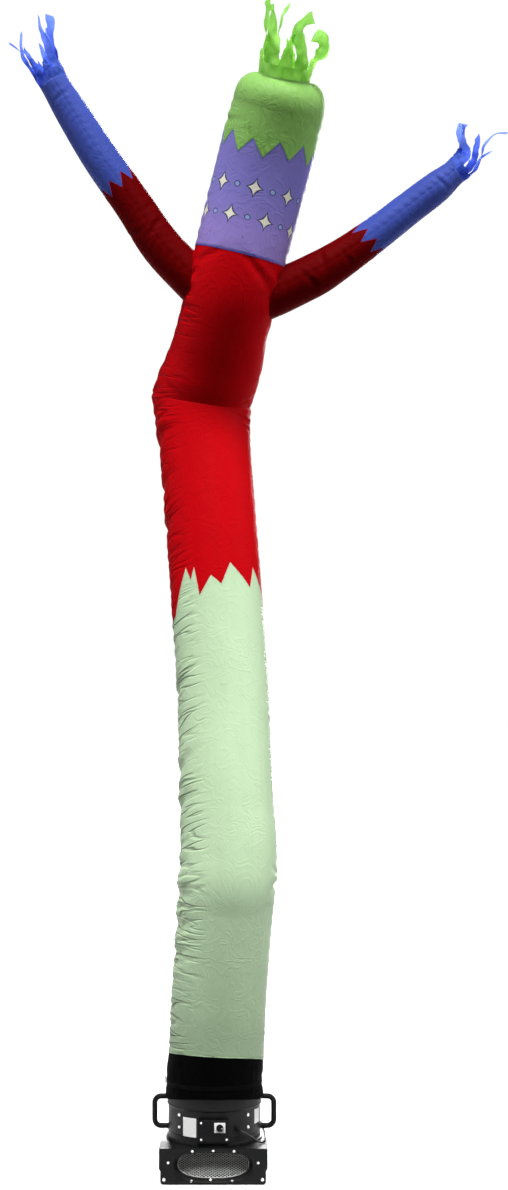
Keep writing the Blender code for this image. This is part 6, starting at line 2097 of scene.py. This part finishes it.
@dataclass
class MainsLead:
    """The lead: out of its gland, over the cabinet, and coiled behind it."""

    wardrobe: Wardrobe
    radius: float = 0.0040
    drum_radius: float = 0.216
    gland_angle: float = 30.0
    gland_z: float = 0.240
    gland_length: float = 0.024
    gland_radius: float = 0.0115
    box_top: float = 0.165
    coil_centre: tuple = (0.055, 0.365)
    coil_radii: tuple = (0.0484, 0.0398)
    coil_low: float = 0.0006
    plug_reach: float = 0.0302

    def build(self) -> None:
        """Make the gland, the lead and the plug's finish."""
        self.gland()
        route, exit_point = self.route()
        curve = bpy.data.curves.new("mains_lead", "CURVE")
        curve.dimensions = "3D"
        curve.bevel_depth = self.radius
        curve.bevel_resolution = 3
        curve.use_fill_caps = True
        spline = curve.splines.new("POLY")
        spline.points.add(len(route) - 1)
        for point, place in zip(spline.points, route):
            point.co = (*place, 1.0)
        piece = bpy.data.objects.new("mains_lead", curve)
        bpy.context.scene.collection.objects.link(piece)
        self.wardrobe.dress(piece, Hard.CORD, nodes=["cord_lead", "cord_coil"])
        length = float(np.linalg.norm(np.diff(route, axis=0), axis=1).sum())
        self.wardrobe.repaint("power_plug", Hard.PLASTIC)
        tuple(exit_point)
        LOG.info("lead of %.2f m", length)

    def gland(self) -> None:
        """Stepped strain relief."""
        out, side = bearing(self.gland_angle)
        start = out * (self.drum_radius + CLEAR) + UP * self.gland_z
        turn = 2.0 * pi * np.arange(28)[:, None] / 28
        ring = (side * np.cos(turn) + UP * np.sin(turn)) * self.gland_radius
        steps = ((0.0, 1.0), (0.38, 1.0), (0.40, 0.96), (0.42, 0.80), (0.50, 0.78), (0.52, 0.70),
                 (0.60, 0.74), (0.62, 0.66), (0.70, 0.70), (0.72, 0.61), (0.82, 0.64),
                 (0.84, 0.55), (1.0, 0.50))
        grid = [start + out * (self.gland_length - CLEAR) * share + ring * size
                for share, size in steps]
        piece = link("strain_relief", grid_solid("strain_relief", np.array(grid), 30.0))
        self.wardrobe.dress(piece, Hard.PLASTIC, nodes=["cord_gland"])

    def route(self) -> tuple[Array, Array]:
        """Points of the lead, and where it leaves the gland."""
        out = bearing(self.gland_angle)[0]
        start = out * (self.drum_radius + self.gland_length + CLEAR) + UP * self.gland_z
        top = self.box_top + self.radius + 0.0012
        floor = self.radius + self.coil_low
        free = np.array([start, start + out * 0.010, start + out * 0.021,
                         (0.1560, -0.2220, 0.2260), (0.1940, -0.1920, 0.1920),
                         (0.2210, -0.1480, top), (0.2380, -0.0960, top), (0.2400, -0.0200, top),
                         (0.2390, 0.0600, top), (0.2340, 0.1500, top),
                         (0.2260, 0.2100, top + 0.001), (0.2200, 0.2460, top + 0.004),
                         (0.2150, 0.2670, 0.1570), (0.2085, 0.2690, 0.1000),
                         (0.2032, 0.2691, 0.0496), (0.1981, 0.2723, 0.0271),
                         (0.1841, 0.2810, 0.0106), (0.1650, 0.2930, floor),
                         (0.1385, 0.3065, floor), (0.1120, 0.3144, floor),
                         (0.0840, 0.3168, floor)])
        coil = self.coil()
        coarse = np.concatenate((free, coil[:3]))
        lengths = np.concatenate(([0.0], np.cumsum(np.linalg.norm(np.diff(coarse, axis=0),
                                                                  axis=1))))
        fine = smooth_values(lengths, coarse, np.arange(0.0, lengths[len(free)] - 0.004, 0.010))
        fine[:, 2] = np.maximum(fine[:, 2], floor)
        tail = coil[-1] + np.array(((0.010, 0.0, 0.0), (0.020, 0.0, -0.0006),
                                    (self.plug_reach, 0.0, -0.0012)))
        return np.concatenate((fine, coil, tail)), start

    def coil(self) -> Array:
        """Turns of the spare length: outwards low, inwards low, inwards high, outwards high."""
        low = self.radius + self.coil_low
        step = 2.0 * self.radius + 0.0003
        outer, inner = self.coil_radii
        plan = ((0.0, outer, 0.0), (0.90, outer, 0.0), (1.10, inner, 0.0), (1.85, inner, 0.0),
                (2.05, inner, 1.0), (2.85, inner, 1.0), (3.05, outer, 1.0), (3.50, outer, 1.0))
        turns = np.arange(0.0, plan[-1][0] + 0.001, 1.0 / 28.0)
        at, radii, layers = np.array(plan).T
        radius, layer = np.interp(turns, at, radii), np.interp(turns, at, layers)
        swing = -(0.25 + turns) * 2.0 * pi
        centre = np.array((*self.coil_centre, low))
        return centre + np.stack((radius * np.cos(swing), radius * np.sin(swing),
                                  layer * step), axis=1)


# ------------------------------------------------------------------- the studio

@dataclass
class Studio:
    """Floor, backdrop light and camera."""

    eye: tuple = (0.1875, -9.5, 2.4)
    pitch_up: float = 1.925
    lens: float = 60.37
    floor_radius: float = 58.0
    dome_radius: float = 60.0
    key_elevation: float = 64.0
    key_azimuth: float = 1.0

    def build(self) -> None:
        """Set up everything round the object."""
        bpy.context.scene.view_settings.view_transform = "Standard"
        self.floor()
        self.dome()
        self.lights()
        self.camera()
        LOG.info("studio")

    def backdrop(self, name: str, mesh: bpy.types.Mesh, finish: dict) -> None:
        """Link a piece of the studio, which throws no light back on the object."""
        piece = link(name, mesh)
        mesh.materials.append(Graph(name + "_finish").finish(finish))
        piece.visible_diffuse = False

    def floor(self) -> None:
        """Plain pale floor."""
        turns = np.arange(64) * 2.0 * pi / 64
        mesh = bpy.data.meshes.new("studio_floor")
        mesh.from_pydata([(self.floor_radius * cos(t), self.floor_radius * sin(t), 0.0)
                          for t in turns], [], [range(len(turns))])
        self.backdrop("studio_floor", mesh, {
            "Base Color": (0.86, 0.86, 0.86), "Roughness": 0.9, "Specular IOR Level": 0.0,
            "Emission Color": (1.0, 1.0, 1.0), "Emission Strength": 0.30})

    def dome(self) -> None:
        """White surround of the studio."""
        arc = np.linspace(-0.02, 0.5, 20) * pi
        mesh = lathe("studio_dome", [(self.dome_radius * cos(a), self.dome_radius * sin(a))
                                     for a in arc[:-1]] + [(0.01, self.dome_radius)], 64)
        self.backdrop("studio_dome", mesh, {
            "Base Color": (0.0, 0.0, 0.0), "Specular IOR Level": 0.0,
            "Emission Color": (1.0, 1.0, 1.0), "Emission Strength": 1.02})
        dome = bpy.data.objects["studio_dome"]
        dome.visible_shadow = False
        dome.visible_glossy = False

    def lights(self) -> None:
        """A broad key high in front, weak lights at both sides, a back light and a sky."""
        world = bpy.data.worlds.new("faint_sky")
        bpy.context.scene.world = world
        world.use_nodes = True
        ground = world.node_tree.nodes["Background"]
        ground.inputs["Color"].default_value = (0.97, 0.98, 1.0, 1.0)
        ground.inputs["Strength"].default_value = 0.12
        for name, azimuth, elevation, angle, strength in (
                ("key_light", self.key_azimuth, self.key_elevation, 18.0, 4.5),
                ("right_rim", 82.0, 20.0, 30.0, 1.3),
                ("left_fill", -80.0, 12.0, 40.0, 0.8),
                ("back_light", 172.0, 16.0, 30.0, 4.5)):
            light = bpy.data.lights.new(name, "SUN")
            light.angle = radians(angle)
            light.energy = strength
            lamp = bpy.data.objects.new(name, light)
            turn, rise = radians(azimuth), radians(elevation)
            towards = Vector((sin(turn) * cos(rise), -cos(turn) * cos(rise), sin(rise)))
            lamp.location = towards * 12.0
            lamp.rotation_euler = towards.to_track_quat("Z", "Y").to_euler()
            bpy.context.scene.collection.objects.link(lamp)

    def camera(self) -> None:
        """Camera at the photograph's place, looking a little up."""
        lens = bpy.data.cameras.new("camera")
        lens.lens = self.lens
        lens.sensor_width = 36.0
        lens.clip_end = 400.0
        camera = bpy.data.objects.new("camera", lens)
        camera.location = self.eye
        camera.rotation_euler = (radians(90.0 + self.pitch_up), 0.0, 0.0)
        bpy.context.scene.collection.objects.link(camera)
        bpy.context.scene.camera = camera


def main() -> None:
    """Build the studio, the blower and the dancer, logging as their parts are made."""
    logging.basicConfig(level=logging.INFO, format="%(message)s")
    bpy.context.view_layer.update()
    Studio().build()
    wardrobe = Wardrobe()
    MainsLead(wardrobe).build()
    Cabinet(wardrobe).build()
    FanDrum(wardrobe).build()
    Dancer(wardrobe).build()
    bpy.context.view_layer.update()


if __name__ == "__main__":
    main()
